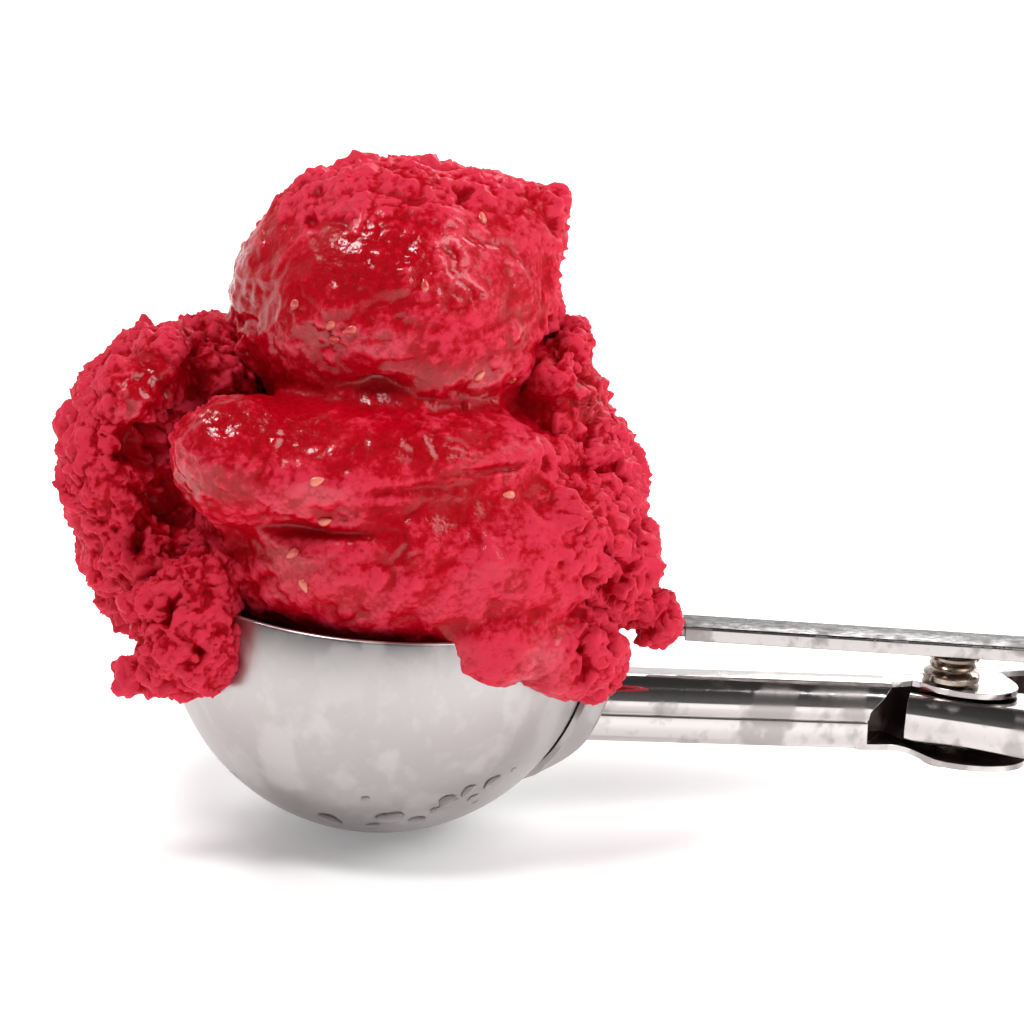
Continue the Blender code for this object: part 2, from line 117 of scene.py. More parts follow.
world = bpy.data.worlds.new("studio")
world.use_nodes = True
room = world.node_tree
nodes = room.nodes
links = room.links
nodes.clear()
coords = nodes.new("ShaderNodeTexCoord")
split = nodes.new("ShaderNodeSeparateXYZ")
links.new(coords.outputs["Generated"], split.inputs[0])
behind = ranged(room, split.outputs["Y"], 0.05, 0.70, 0.0, 0.95)
right = ranged(room, split.outputs["X"], 0.15, 0.85, 0.0, 0.55)
low_sky = ranged(room, split.outputs["Z"], 0.75, 0.25, 0.0, 1.0)
glow = combined(room, "MULTIPLY", combined(room, "MAXIMUM", behind, right), low_sky)
dim = ranged(room, split.outputs["Z"], 0.95, 0.05, 0.05, 0.16)
brightness = combined(room, "ADD", glow, dim)
shade = nodes.new("ShaderNodeCombineColor")
for channel_name in ("Red", "Green", "Blue"):
    links.new(brightness, shade.inputs[channel_name])
soft_light = nodes.new("ShaderNodeBackground")
links.new(shade.outputs["Color"], soft_light.inputs["Color"])
sweep = nodes.new("ShaderNodeBackground")
sweep.inputs["Color"].default_value = (1.0, 1.0, 1.0, 1.0)
sweep.inputs["Strength"].default_value = 1.05
ray = nodes.new("ShaderNodeLightPath")
choose = nodes.new("ShaderNodeMixShader")
links.new(ray.outputs["Is Camera Ray"], choose.inputs["Fac"])
links.new(soft_light.outputs[0], choose.inputs[1])
links.new(sweep.outputs[0], choose.inputs[2])
output = nodes.new("ShaderNodeOutputWorld")
links.new(choose.outputs[0], output.inputs["Surface"])
bpy.context.scene.world = world

FLOOR_REACH = 2.5
floor_mesh = bpy.data.meshes.new("floor")
floor_mesh.from_pydata([(-FLOOR_REACH, -FLOOR_REACH, 0.0), (FLOOR_REACH, -FLOOR_REACH, 0.0),
                        (FLOOR_REACH, FLOOR_REACH, 0.0), (-FLOOR_REACH, FLOOR_REACH, 0.0)],
                       [], [(0, 1, 2, 3)])
floor = placed("floor", floor_mesh)
paper = bpy.data.materials.new("white_sweep")
paper.use_nodes = True
nodes = paper.node_tree.nodes
links = paper.node_tree.links
shader = nodes["Principled BSDF"]
shader.inputs["Base Color"].default_value = (0.93, 0.925, 0.925, 1.0)
shader.inputs["Roughness"].default_value = 0.6
shader.inputs["Emission Color"].default_value = (1.0, 1.0, 1.0, 1.0)
coords = nodes.new("ShaderNodeTexCoord")
distance = nodes.new("ShaderNodeVectorMath")
distance.operation = "LENGTH"
links.new(coords.outputs["Object"], distance.inputs[0])
# Painted light: the paper glows by emission, weakest close under the bowl so that the bowl's shadow stays
paper_glow = ranged(paper.node_tree, distance.outputs["Value"], 0.02, 0.10, 0.18, 0.70)
links.new(paper_glow, shader.inputs["Emission Strength"])
floor_mesh.materials.append(paper)


# ---------------------------------------------------------------- steel finish
# Stainless steel, spun and brushed on the bowl and polished on the handles, with
# fine scratches, wiped smears and dull fingerprints. Every steel piece uses it.

def shader_group(name, inputs, outputs):
    """A node group with named sockets: inputs as (name, default), outputs as (name, kind)."""
    tree = bpy.data.node_groups.new(name, "ShaderNodeTree")
    for label, default in inputs:
        socket = tree.interface.new_socket(label, in_out="INPUT", socket_type="NodeSocketFloat")
        socket.default_value = default
    for label, kind in outputs:
        tree.interface.new_socket(label, in_out="OUTPUT", socket_type=kind)
    return tree, tree.nodes.new("NodeGroupInput"), tree.nodes.new("NodeGroupOutput")


def stretched_noise(tree, scale, stretch, detail):
    """Noise on the object's own coordinates, drawn out by stretch along each axis."""
    place = tree.nodes.new("ShaderNodeTexCoord")
    mapping = tree.nodes.new("ShaderNodeMapping")
    mapping.inputs["Scale"].default_value = stretch
    noise = tree.nodes.new("ShaderNodeTexNoise")
    noise.inputs["Scale"].default_value = scale
    noise.inputs["Detail"].default_value = detail
    tree.links.new(place.outputs["Object"], mapping.inputs["Vector"])
    tree.links.new(mapping.outputs[0], noise.inputs["Vector"])
    return noise


wear, wear_in, wear_out = shader_group(
    "steel_wear",
    [("Smears", 1.0), ("Scratches", 1.0)],
    [("Dullness", "NodeSocketFloat"), ("Height", "NodeSocketFloat")])
smear = stretched_noise(wear, 150.0, (1.0, 1.0, 0.75), 4.0)
smear_mask = ranged(wear, smear.outputs[0], 0.49, 0.60, 0.0, 1.0)
scratch = stretched_noise(wear, 900.0, (1.0, 1.0, 0.05), 3.0)
scratch_mask = ranged(wear, scratch.outputs[0], 0.30, 0.70, 0.0, 1.0)
print_marks = stretched_noise(wear, 420.0, (1.0, 1.0, 1.0), 2.0)
print_mask = ranged(wear, print_marks.outputs[0], 0.55, 0.72, 0.0, 0.45)
marked = combined(wear, "MAXIMUM", smear_mask, print_mask)
dullness = combined(wear, "MULTIPLY", marked, wear_in.outputs["Smears"])
wear.links.new(dullness, wear_out.inputs["Dullness"])
scratch_height = combined(wear, "MULTIPLY", scratch_mask, wear_in.outputs["Scratches"])
wear.links.new(scratch_height, wear_out.inputs["Height"])


def steel(name, clean, dulled, rough_clean, rough_dull, smears, scratches):
    """Steel whose colour and roughness go from clean to dulled where it is smeared, with
    scratch relief; smears and scratches say how much of each it has."""
    made = bpy.data.materials.new(name)
    made.use_nodes = True
    tree = made.node_tree
    shader = tree.nodes["Principled BSDF"]
    shader.inputs["Metallic"].default_value = 1.0
    group = tree.nodes.new("ShaderNodeGroup")
    group.node_tree = wear
    group.inputs["Smears"].default_value = smears
    group.inputs["Scratches"].default_value = scratches
    tint = tree.nodes.new("ShaderNodeMix")
    tint.data_type = "RGBA"
    tint.inputs["A"].default_value = (*clean, 1.0)
    tint.inputs["B"].default_value = (*dulled, 1.0)
    tree.links.new(group.outputs["Dullness"], tint.inputs["Factor"])
    tree.links.new(tint.outputs["Result"], shader.inputs["Base Color"])
    gloss = ranged(tree, group.outputs["Dullness"], 0.0, 1.0, rough_clean, rough_dull)
    tree.links.new(gloss, shader.inputs["Roughness"])
    bump = tree.nodes.new("ShaderNodeBump")
    bump.inputs["Strength"].default_value = 0.35
    bump.inputs["Distance"].default_value = 0.02 * MM
    tree.links.new(group.outputs["Height"], bump.inputs["Height"])
    tree.links.new(bump.outputs[0], shader.inputs["Normal"])
    return made


brushed_steel = steel("brushed_steel", (0.42, 0.392, 0.388), (0.50, 0.47, 0.468), 0.33, 0.44, 1.0, 1.0)
polished_steel = steel("polished_steel", (0.56, 0.525, 0.515), (0.36, 0.33, 0.325), 0.11, 0.27, 0.9, 0.6)
tarnished_steel = steel("tarnished_steel", (0.46, 0.40, 0.35), (0.24, 0.18, 0.14), 0.16, 0.34, 1.0, 0.4)
worn_and_top_shaded_steel = steel("worn_and_top_shaded_steel", (0.46, 0.43, 0.42), (0.32, 0.29, 0.28), 0.20, 0.40, 1.0, 1.0)
# Dark steel for the inner faces of the box and the channels: painted shade inside them, with some grime
grime_and_shade_steel = steel("grime_and_shade_steel", (0.10, 0.075, 0.07), (0.05, 0.03, 0.03), 0.45, 0.7, 1.0, 0.3)

# The rack's steel is darker on its upward faces, a painted shade, and speckled there with stains
tree = worn_and_top_shaded_steel.node_tree
shader = tree.nodes["Principled BSDF"]
facing = tree.nodes.new("ShaderNodeNewGeometry")
facing_split = tree.nodes.new("ShaderNodeSeparateXYZ")
tree.links.new(facing.outputs["Normal"], facing_split.inputs[0])
upward = ranged(tree, facing_split.outputs["Z"], 0.55, 0.95, 0.0, 1.0)
speckle = stretched_noise(tree, 1500.0, (0.5, 1.0, 1.0), 4.0)
speckle_ramp = tree.nodes.new("ShaderNodeValToRGB")
speckle_ramp.color_ramp.elements[0].position = 0.42
speckle_ramp.color_ramp.elements[0].color = (0.015, 0.012, 0.012, 1.0)
speckle_ramp.color_ramp.elements[1].position = 0.68
speckle_ramp.color_ramp.elements[1].color = (0.15, 0.138, 0.134, 1.0)
tree.links.new(speckle.outputs[0], speckle_ramp.inputs[0])
top_shade_and_stains = tree.nodes.new("ShaderNodeMix")
top_shade_and_stains.data_type = "RGBA"
tree.links.new(upward, top_shade_and_stains.inputs["Factor"])
tree.links.new(shader.inputs["Base Color"].links[0].from_socket, top_shade_and_stains.inputs["A"])
tree.links.new(speckle_ramp.outputs[0], top_shade_and_stains.inputs["B"])
tree.links.new(top_shade_and_stains.outputs["Result"], shader.inputs["Base Color"])

# ---------------------------------------------------------------- bowl
# Spun steel, 0.9 mm thick and a little deeper than half a sphere, satin outside.
# A profile turned about the scoop's own axis; the underside has a small worn flat.

PITCH = math.radians(4.4)
BOWL_RADIUS = 30.0
BOWL_WALL = 0.9
RIM = 5.6
REST_SPOT_RADIUS = 4.2
GAP = 0.3
SHARP_ANGLE = math.radians(38.0)
FOLD_ANGLE = math.radians(50.0)
CENTRE_HEIGHT = math.sqrt(BOWL_RADIUS ** 2 - REST_SPOT_RADIUS ** 2)
SCOOP = Matrix.Translation((0.0, 0.0, CENTRE_HEIGHT * MM)) @ Matrix.Rotation(PITCH, 4, "Y")


def ease(value, start, end):
    """0 before start, 1 after end, eased between."""
    t = np.clip((value - start) / (end - start), 0.0, 1.0)
    return t * t * (3.0 - 2.0 * t)


def grid_faces(rows, columns, wrap, first):
    """Quads between the points of a (rows, columns) grid; point (r, c) is first + r * columns + c."""
    across = np.arange(columns if wrap else columns - 1)
    row, column = np.meshgrid(np.arange(rows - 1), across, indexing="ij")
    following = (column + 1) % columns
    corners = (row * columns + column, row * columns + following,
               (row + 1) * columns + following, (row + 1) * columns + column)
    return np.stack(corners, axis=-1).reshape(-1, 4) + first


def merged(mesh, apart):
    """Merge the mesh's points that lie within apart millimetres of each other, turn its
    faces outwards and shade it smooth."""
    bm = bmesh.new()
    bm.from_mesh(mesh)
    bmesh.ops.remove_doubles(bm, verts=bm.verts, dist=apart * MM)
    bmesh.ops.recalc_face_normals(bm, faces=bm.faces)
    bm.to_mesh(mesh)
    bm.free()
    mesh.shade_smooth()


def piece(name, points, faces, place, finish, body, node, slot, bevel=0.0, inner_finish=None):
    """A steel piece from points in millimetres in the frame place, its sheet edges eased by
    bevel. inner_finish goes on the faces between the second half of the points."""
    matrix = np.array(place)
    world_points = points.reshape(-1, 3) * MM @ matrix[:3, :3].T + matrix[:3, 3]
    world_points[:, 2] = np.maximum(world_points[:, 2], 0.0)
    mesh = bpy.data.meshes.new(name)
    mesh.from_pydata(world_points.tolist(), [], faces)
    mesh.materials.append(finish)
    if inner_finish is not None:
        mesh.materials.append(inner_finish)
        inside_faces = (np.array(faces) >= len(world_points) // 2).all(axis=1)
        mesh.polygons.foreach_set("material_index", inside_faces.astype(np.int32))
    merged(mesh, 0.004)
    mesh.set_sharp_from_angle(angle=SHARP_ANGLE)
    made = placed(name, mesh)
    if bevel:
        rounding = made.modifiers.new("edges", "BEVEL")
        rounding.width = bevel * MM
        rounding.segments = 2
        rounding.limit_method = "ANGLE"
        rounding.angle_limit = FOLD_ANGLE
    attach(made, body)
    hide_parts(node)
    return made


def sheet(outer, inner, wrap=False):
    """Points and faces of the closed sheet between two grids of one shape."""
    rows, columns = outer.shape[:2]
    count = rows * columns
    faces = [grid_faces(rows, columns, wrap, 0), grid_faces(rows, columns, wrap, count)[:, ::-1]]
    across = np.arange(columns if wrap else columns - 1)
    following = (across + 1) % columns
    for row in (0, rows - 1):
        at = row * columns
        edge = (at + across, at + following, at + following + count, at + across + count)
        faces.append(np.stack(edge, axis=-1))
    if not wrap:
        down = np.arange(rows - 1) * columns
        for side in (0, columns - 1):
            ends = (down + side, down + columns + side, down + columns + side + count, down + side + count)
            faces.append(np.stack(ends, axis=-1))
    return np.concatenate([outer.reshape(-1, 3), inner.reshape(-1, 3)]), np.concatenate(faces).tolist()


def turned(profile, segments):
    """Points and faces of an (r, z) profile turned about Z; an end on the axis closes to a point."""
    profile = np.array(profile)
    turn = np.linspace(0.0, 2.0 * math.pi, segments, endpoint=False)
    ring = np.stack([np.cos(turn), np.sin(turn)], axis=-1)
    plan = profile[:, 0, None, None] * ring[None]
    height = np.broadcast_to(profile[:, 1, None, None], (len(profile), segments, 1))
    return np.concatenate([plan, height], axis=-1), grid_faces(len(profile), segments, True, 0).tolist()


def arc(centre, radius, start, end, steps):
    """Points on an arc from start to end degrees, as rows."""
    turn = np.radians(np.linspace(start, end, steps + 1))
    return np.stack([centre[0] + radius * np.cos(turn), centre[1] + radius * np.sin(turn)], axis=-1)


inside = BOWL_RADIUS - BOWL_WALL
outer_end = math.degrees(math.asin(RIM / BOWL_RADIUS))
inner_end = math.degrees(math.asin(RIM / inside))
lip_middle = (math.sqrt(BOWL_RADIUS ** 2 - RIM ** 2) + math.sqrt(inside ** 2 - RIM ** 2)) / 2.0
bowl_profile = np.concatenate([
    arc((0.0, 0.0), BOWL_RADIUS, -90.0, outer_end, 72),
    arc((lip_middle, RIM), BOWL_WALL / 2.0, 0.0, 180.0, 8)[1:-1],
    arc((0.0, 0.0), inside, inner_end, -90.0, 40)])
piece("bowl_shell", *turned(bowl_profile, 160), SCOOP, brushed_steel, "scoop", "bowl", "brushed_steel")

# ---------------------------------------------------------------- saddle
# The leaf-shaped plate that carries the bowl, thick where the arm is welded on.
# A grid over elevation and azimuth on the bowl's outside, thickness by formula.

elevation, across = np.meshgrid(np.linspace(-54.0, -9.0, 70), np.linspace(-1.0, 1.0, 50), indexing="ij")
half_width = 2.0 + 17.0 * ease(elevation, -56.0, -28.0) - 4.0 * ease(elevation, -22.0, -9.0)
azimuth = across * half_width
root = ease(elevation, -48.0, -26.0) * (1.0 - ease(np.abs(azimuth), 8.5, 15.0))
thick = 0.8 + 2.9 * root
rise = np.radians(elevation)
turn = np.radians(azimuth)
outward = np.stack([np.cos(rise) * np.cos(turn), np.cos(rise) * np.sin(turn), np.sin(rise)], axis=-1)
under = BOWL_RADIUS + GAP
saddle_points, saddle_faces = sheet(outward * (under + thick)[..., None], outward * under)
piece("saddle_plate", saddle_points, saddle_faces, SCOOP, brushed_steel,
      "scoop", "saddle", "brushed_steel", 0.15)

# ---------------------------------------------------------------- bowl arm and far handle
# One folded steel sheet: a box with its seam along the near side, then a channel
# whose flanges carry the pivot. Section loops run along X; each loop point has its
# own start on the saddle's sphere and its own end at the cut mouth.

ARM_HALF = 3.5
ARM_TOP = -6.8
ARM_BOTTOM = -16.3
SHEET = 1.0
SEAM_Z = -11.7
SEAM_LAP = 0.5
PIVOT_X = 83.2
PIVOT_Y = 1.5
EAR_TOP_RADIUS = 6.6
EAR_BOTTOM_RADIUS = 8.4
TAIL_X = (CENTRE_HEIGHT + ARM_BOTTOM * math.cos(PITCH)) / math.sin(PITCH) - GAP

small = 1.2
large = 3.6
proud = -ARM_HALF - SEAM_LAP
outer_loop = np.concatenate([
    arc((ARM_HALF - small, ARM_TOP - small), small, 0.0, 90.0, 8),
    arc((proud + large, ARM_TOP - large), large, 90.0, 180.0, 16),
    [(proud, SEAM_Z + 0.25), (proud + 0.12, SEAM_Z + 0.05), (-ARM_HALF + 0.25, SEAM_Z),
     (-ARM_HALF + 0.25, SEAM_Z - 0.3), (-ARM_HALF + 0.06, SEAM_Z - 0.42), (-ARM_HALF, SEAM_Z - 0.6)],
    arc((-ARM_HALF + small, ARM_BOTTOM + small), small, 180.0, 270.0, 8),
    arc((ARM_HALF - small, ARM_BOTTOM + small), small, 270.0, 360.0, 8)])
within = ARM_HALF - SHEET
tight = 0.3
curl = large - SHEET - SEAM_LAP
inner_loop = np.concatenate([
    arc((within - tight, ARM_TOP - SHEET - tight), tight, 0.0, 90.0, 8),
    arc((-within + curl, ARM_TOP - SHEET - curl), curl, 90.0, 180.0, 16),
    [(-within, SEAM_Z + lift) for lift in (0.25, 0.05, 0.0, -0.3, -0.42, -0.6)],
    arc((-within + tight, ARM_BOTTOM + SHEET + tight), tight, 180.0, 270.0, 8),
    arc((within - tight, ARM_BOTTOM + SHEET + tight), tight, 270.0, 360.0, 8)])


def arm_skin(loop):
    """Grid of the arm's skin: x runs from the saddle's sphere to the mouth, which is
    cut back on the near side and lowest at the seam; (y, z) follows the loop."""
    y, z = loop[:, 0], loop[:, 1]
    begin = np.sqrt((BOWL_RADIUS + GAP + 2.8) ** 2 - y ** 2 - z ** 2)
    near = 1.0 - ease(y, -2.6, -1.2)
    mouth = 70.4 + 0.35 * np.clip((SEAM_Z - z) / 6.0, 0.0, 1.0) + 3.2 * ease(z, -11.0, -6.6)
    finish = 74.0 + (mouth - 74.0) * near
    t = np.linspace(0.0, 1.0, 50)[:, None]
    x = begin + (finish - begin) * t
    return np.stack([x, np.broadcast_to(y, x.shape), np.broadcast_to(z, x.shape)], axis=-1)


piece("arm_box", *sheet(arm_skin(outer_loop), arm_skin(inner_loop), wrap=True), SCOOP, polished_steel,
      "scoop", "bowl_arm", "polished_steel", 0.12, grime_and_shade_steel)


def channel(start, end_x, heading_at, top_at, bottom_at, inner_edges, side, corner, thickness):
    """A folded channel: the web follows a plan path of heading_at(distance); the flanges reach
    from the web to inner_edges(x, web y), each a distance for the upper and the lower flange."""
    distance = np.linspace(0.0, end_x - start[0], 150)
    heading = heading_at(distance)
    climb = np.cumsum(np.tan((heading[1:] + heading[:-1]) / 2.0) * distance[1])
    path = np.stack([start[0] + distance, start[1] + np.concatenate([[0.0], climb])], axis=-1)
    top = top_at(distance)
    bottom = bottom_at(distance)
    upper, lower = inner_edges(path[:, 0], path[:, 1], distance)
    normal = np.stack([-np.sin(heading), np.cos(heading)], axis=-1) * side
    quarter = np.radians(np.linspace(90.0, 0.0, 7))
    spread = np.linspace(1.0, 0.0, 8)[:-1]
    skins = []
    for offset in (0.0, thickness):
        radius = corner - offset
        bend_in = -corner + radius * np.cos(quarter)
        bend_up = radius * np.sin(quarter)
        flat_up = -corner - (upper - corner)[:, None] * spread
        flat_down = -corner - (lower - corner)[:, None] * spread[::-1]
        bends = np.broadcast_to(np.concatenate([bend_in, bend_in[::-1]]), (len(top), 14))
        inward = np.concatenate([flat_up, bends, flat_down], axis=1)
        level = np.ones(7)
        high = (top[:, None] - offset) * level
        low = (bottom[:, None] + offset) * level
        height = np.concatenate([high, (top - corner)[:, None] + bend_up,
                                 (bottom + corner)[:, None] - bend_up[::-1], low], axis=1)
        plan = path[:, None, :] + normal[:, None, :] * inward[..., None]
        skins.append(np.concatenate([plan, height[..., None]], axis=-1))
    return sheet(*skins)


def far_edges(x, y, distance):
    """Flange depths of the far handle: round ears about the pivot, then even flanges."""
    grip = ease(x, 92.0, 104.0)
    even_top = 3.9 * (1.0 - grip) + 6.5 * grip
    even_bottom = 6.8 * (1.0 - grip) + 6.5 * grip
    ear_top = y - PIVOT_Y + np.sqrt(np.clip(EAR_TOP_RADIUS ** 2 - (x - PIVOT_X) ** 2, 0.0, None))
    ear_bottom = y - PIVOT_Y + np.sqrt(np.clip(EAR_BOTTOM_RADIUS ** 2 - (x - PIVOT_X) ** 2, 0.0, None))
    near_top = np.abs(x - PIVOT_X) < EAR_TOP_RADIUS
    near_bottom = np.abs(x - PIVOT_X) < EAR_BOTTOM_RADIUS
    return (np.where(near_top, np.maximum(ear_top, even_top), even_top),
            np.where(near_bottom, np.maximum(ear_bottom, even_bottom), even_bottom))


far_points, far_faces = channel(
    (69.0, ARM_HALF - 0.05), TAIL_X,
    lambda d: math.radians(20.0) * ease(d, 1.0, 8.0) - math.radians(14.5) * ease(d, 30.0, 75.0),
    lambda d: np.full_like(d, ARM_TOP - 0.05),
    lambda d: ARM_BOTTOM + 0.05 - 1.8 * (ease(d, 4.0, 9.0) - ease(d, 23.0, 35.0)),
    far_edges, 1.0, 1.2, 0.9)
piece("far_handle", far_points, far_faces, SCOOP, polished_steel,
      "scoop", "bowl_arm", "polished_steel", 0.12, grime_and_shade_steel)

# ---------------------------------------------------------------- near handle
# A folded steel channel whose rounded front turns between the ears; it rides on the
# lever. The same channel as the far handle, its front flanges trimmed to a circle.

LEVER = SCOOP @ Matrix.Translation(Vector((PIVOT_X, PIVOT_Y, 0.0)) * MM)
NOSE_RADIUS = 4.4


def near_edges(x, y, distance):
    """Flange depths of the near handle: round about the pivot in front, a wide foot, then even."""
    foot = ease(distance, 13.0, 19.7)
    grip = ease(distance, 31.0, 43.3)
    limit = np.sqrt(np.clip(NOSE_RADIUS ** 2 - x ** 2, 2.2, None)) - y + 30.0 * ease(x, 0.6, 6.0)
    limit = np.where(x < -4.1, -1.5 - y, limit)
    return (np.minimum(9.6 + 1.9 * foot - 5.0 * grip, limit), np.minimum(9.6 - 3.1 * foot, limit))


near_points, near_faces = channel(
    (-7.4, -5.0), TAIL_X - PIVOT_X,
    lambda d: math.radians(-20.5) + math.radians(15.5) * ease(d, 22.5, 66.0),
    lambda d: -8.15 + 1.35 * ease(d, 15.0, 41.5),
    lambda d: -15.3 - 1.0 * ease(d, 15.0, 41.5),
    near_edges, -1.0, 2.6, 0.9)
piece("lever_handle", near_points, near_faces, LEVER, polished_steel,
      "lever", "near_handle", "polished_steel", 0.12, grime_and_shade_steel)

# ---------------------------------------------------------------- pivot rivet
# Turned steel: a domed foot under the lower ear, a shank, and a grooved stack that
# carries the rack arm. One profile turned about the pivot.

rivet_low = ARM_BOTTOM - 1.8
rivet_base = ARM_TOP + GAP
rivet_top = -2.8
# Each point of a profile: radius, then height above the part's own base, in millimetres
foot_profile = [(0.0, -1.5), (1.2, -1.48), (2.2, -1.35), (3.0, -1.1), (3.5, -0.75), (3.7, -0.5),
                (3.7, -0.3)]
shank_profile = [(2.0, rivet_low - GAP), (2.0, rivet_base)]
stack_profile = [(4.0, 0.0), (4.1, 0.1), (4.1, 0.8), (4.0, 0.9), (3.5, 1.1), (2.3, 1.18),
                 (2.2, 1.26), (2.2, 1.54), (2.3, 1.62), (2.9, 1.68), (3.25, 1.82), (3.4, 2.1),
                 (3.25, 2.38), (2.9, 2.55), (2.35, 2.68), (2.3, 2.76), (2.3, 3.04), (2.4, 3.14),
                 (3.65, 3.18), (3.8, 3.3)]
rivet_profile = ([(r, rivet_low + rise) for r, rise in foot_profile] + shank_profile
                 + [(r, rivet_base + rise) for r, rise in stack_profile]
                 + [(3.8, rivet_top), (0.0, rivet_top)])
piece("rivet_stack", *turned(rivet_profile, 72), LEVER, tarnished_steel,
      "lever", "pivot_rivet", "polished_steel")

# ---------------------------------------------------------------- rack arm
# A shallow steel channel from the pivot to the bowl, with a flat tongue in front and
# a foot riveted to the near handle. Section loops run along the arm.

BAR = LEVER @ Matrix.Rotation(math.radians(-5.4), 4, "Z")
BAR_TOP = -0.4
BAR_LOW = -2.5
BAR_HALF = 3.15
EDGE = 0.45
FOLD = 0.1
FOOT_LOW = -7.37
FOOT_REACH = 5.0
FOOT_FROM = 12.0
FOOT_TO = 23.0


def rounded_bar(half, low, high, radius, begin, end, nose):
    """Closed bar: a rounded rectangle in YZ swept along X, narrowing in its last nose length
    to a rounded end by a quarter ellipse at both ends."""
    loop = np.concatenate([
        arc((half - radius, high - radius), radius, 0.0, 90.0, 5),
        arc((-half + radius, high - radius), radius, 90.0, 180.0, 5),
        arc((-half + radius, low + radius), radius, 180.0, 270.0, 5),
        arc((half - radius, low + radius), radius, 270.0, 360.0, 5)])
    middle = np.array([0.0, (low + high) / 2.0])
    ends = 1.0 - np.cos(np.linspace(0.0, math.pi / 2.0, 7))
    x = np.concatenate([begin + nose * ends, np.linspace(begin + nose, end - nose, 30)[1:-1],
                        (end - nose * ends)[::-1]])
    from_end = np.minimum(x - begin, end - x)
    taper = np.sqrt(np.clip(1.0 - (1.0 - np.clip(from_end / nose, 0.0, 1.0)) ** 2, 0.0, 1.0))
    taper[[0, -1]] = 0.0
    width = middle + (loop[None] - middle) * taper[:, None, None]
    grid = np.concatenate([np.broadcast_to(x[:, None, None], (len(x), len(loop), 1)), width], axis=-1)
    return grid, grid_faces(len(x), len(loop), True, 0).tolist()


def swept(line, stations):
    """The skin of a (y, z) line carried straight along X, repeated at every station."""
    count = len(stations)
    x = np.broadcast_to(stations[:, None, None], (count, len(line), 1))
    return np.concatenate([x, np.broadcast_to(line[None], (count, len(line), 2))], axis=-1)


bar_outer = np.concatenate([
    [(-BAR_HALF, BAR_LOW)],
    arc((-BAR_HALF + EDGE, BAR_TOP - EDGE), EDGE, 180.0, 90.0, 6),
    arc((BAR_HALF - EDGE, BAR_TOP - EDGE), EDGE, 90.0, 0.0, 6),
    [(BAR_HALF, BAR_LOW)]])
bar_within = BAR_HALF - SHEET
bar_inner = np.concatenate([
    [(-bar_within, BAR_LOW)],
    arc((-bar_within + FOLD, BAR_TOP - SHEET - FOLD), FOLD, 180.0, 90.0, 6),
    arc((bar_within - FOLD, BAR_TOP - SHEET - FOLD), FOLD, 90.0, 0.0, 6),
    [(bar_within, BAR_LOW)]])
bar_stations = np.linspace(-39.2, 25.0, 90)
piece("rack_bar", *sheet(swept(bar_outer, bar_stations), swept(bar_inner, bar_stations)), BAR, worn_and_top_shaded_steel,
      "lever", "rack_arm", "brushed_steel", 0.1)
piece("rack_tongue", *rounded_bar(2.5, BAR_LOW + 0.3, BAR_TOP - 0.3, 0.4, -43.8, -32.0, 0.6), BAR,
      worn_and_top_shaded_steel, "lever", "rack_arm", "brushed_steel")
piece("rack_seat", *rounded_bar(2.7, BAR_LOW + 0.05, BAR_TOP - 0.9, 0.2, -4.6, 4.6, 0.4), BAR,
      worn_and_top_shaded_steel, "lever", "rack_arm", "brushed_steel")

# The foot is a strip bent down from the bar's near side and out over the near handle
foot_over = np.concatenate([
    [(-BAR_HALF + 0.05, BAR_TOP - 0.7)],
    arc((-BAR_HALF + 0.05 - 1.4, FOOT_LOW + SHEET + 1.4), 1.4, 0.0, -90.0, 8),
    [(-BAR_HALF - FOOT_REACH, FOOT_LOW + SHEET)]])
foot_under = np.concatenate([
    [(-BAR_HALF + 0.95, BAR_TOP - 0.7)],
    arc((-BAR_HALF + 0.95 - 2.3, FOOT_LOW + 2.3), 2.3, 0.0, -90.0, 8),
    [(-BAR_HALF - FOOT_REACH, FOOT_LOW)]])
foot_stations = np.linspace(FOOT_FROM, FOOT_TO, 14)
piece("rack_foot", *sheet(swept(foot_over, foot_stations), swept(foot_under, foot_stations)), BAR,
      worn_and_top_shaded_steel, "lever", "rack_arm", "brushed_steel", 0.15)
foot_middle = Vector(((FOOT_FROM + FOOT_TO) / 2.0, -BAR_HALF - FOOT_REACH / 2.0, 0.0))
button_profile = [(0.0, -6.85), (1.8, -6.85), (1.8, -6.1), (1.7, -5.9), (1.2, -5.65), (0.6, -5.53),
                  (0.0, -5.5)]
piece("foot_rivet", *turned(button_profile, 40), BAR @ Matrix.Translation(foot_middle * MM),
      tarnished_steel, "lever", "rack_arm", "polished_steel")

# ---------------------------------------------------------------- sorbet
# Raspberry sorbet, two scoopfuls pressed together: smeared smooth and syrupy in front,
# torn into crumbs at the right, at the crown and in the left lump, with a drip over the
# lip. Each mass is a closed skin over fused ellipsoids, then given relief by formula.

JOIN_VOXEL = 1.1
JOIN_ROUNDS = 10
SKIN_ROUNDS = 2


def cloud(points, size, seed):
    """Smooth random field from -1 to 1: random numbers at the corners of cubes of
    the given size, blended between the eight corners round each point."""
    lattice = np.random.default_rng(seed).uniform(-1.0, 1.0, (32, 32, 32))
    scaled = points / size + 7.3 * seed
    cell = np.floor(scaled).astype(np.int64)
    part = scaled - cell
    part = part * part * (3.0 - 2.0 * part)
    total = np.zeros(len(points))
    for corner in itertools.product((0, 1), repeat=3):
        weight = np.ones(len(points))
        for axis in range(3):
            weight *= part[:, axis] if corner[axis] else 1.0 - part[:, axis]
        index = (cell + corner) % 32
        total += weight * lattice[index[:, 0], index[:, 1], index[:, 2]]
    return total


def clouds(points, size, octaves, seed):
    """Clouds at size, a half, a quarter and so on, each at half the strength."""
    total = np.zeros(len(points))
    for octave in range(octaves):
        total += cloud(points, size / 2 ** octave, seed + octave) / 2 ** octave
    return total / (2.0 - 0.5 ** (octaves - 1))


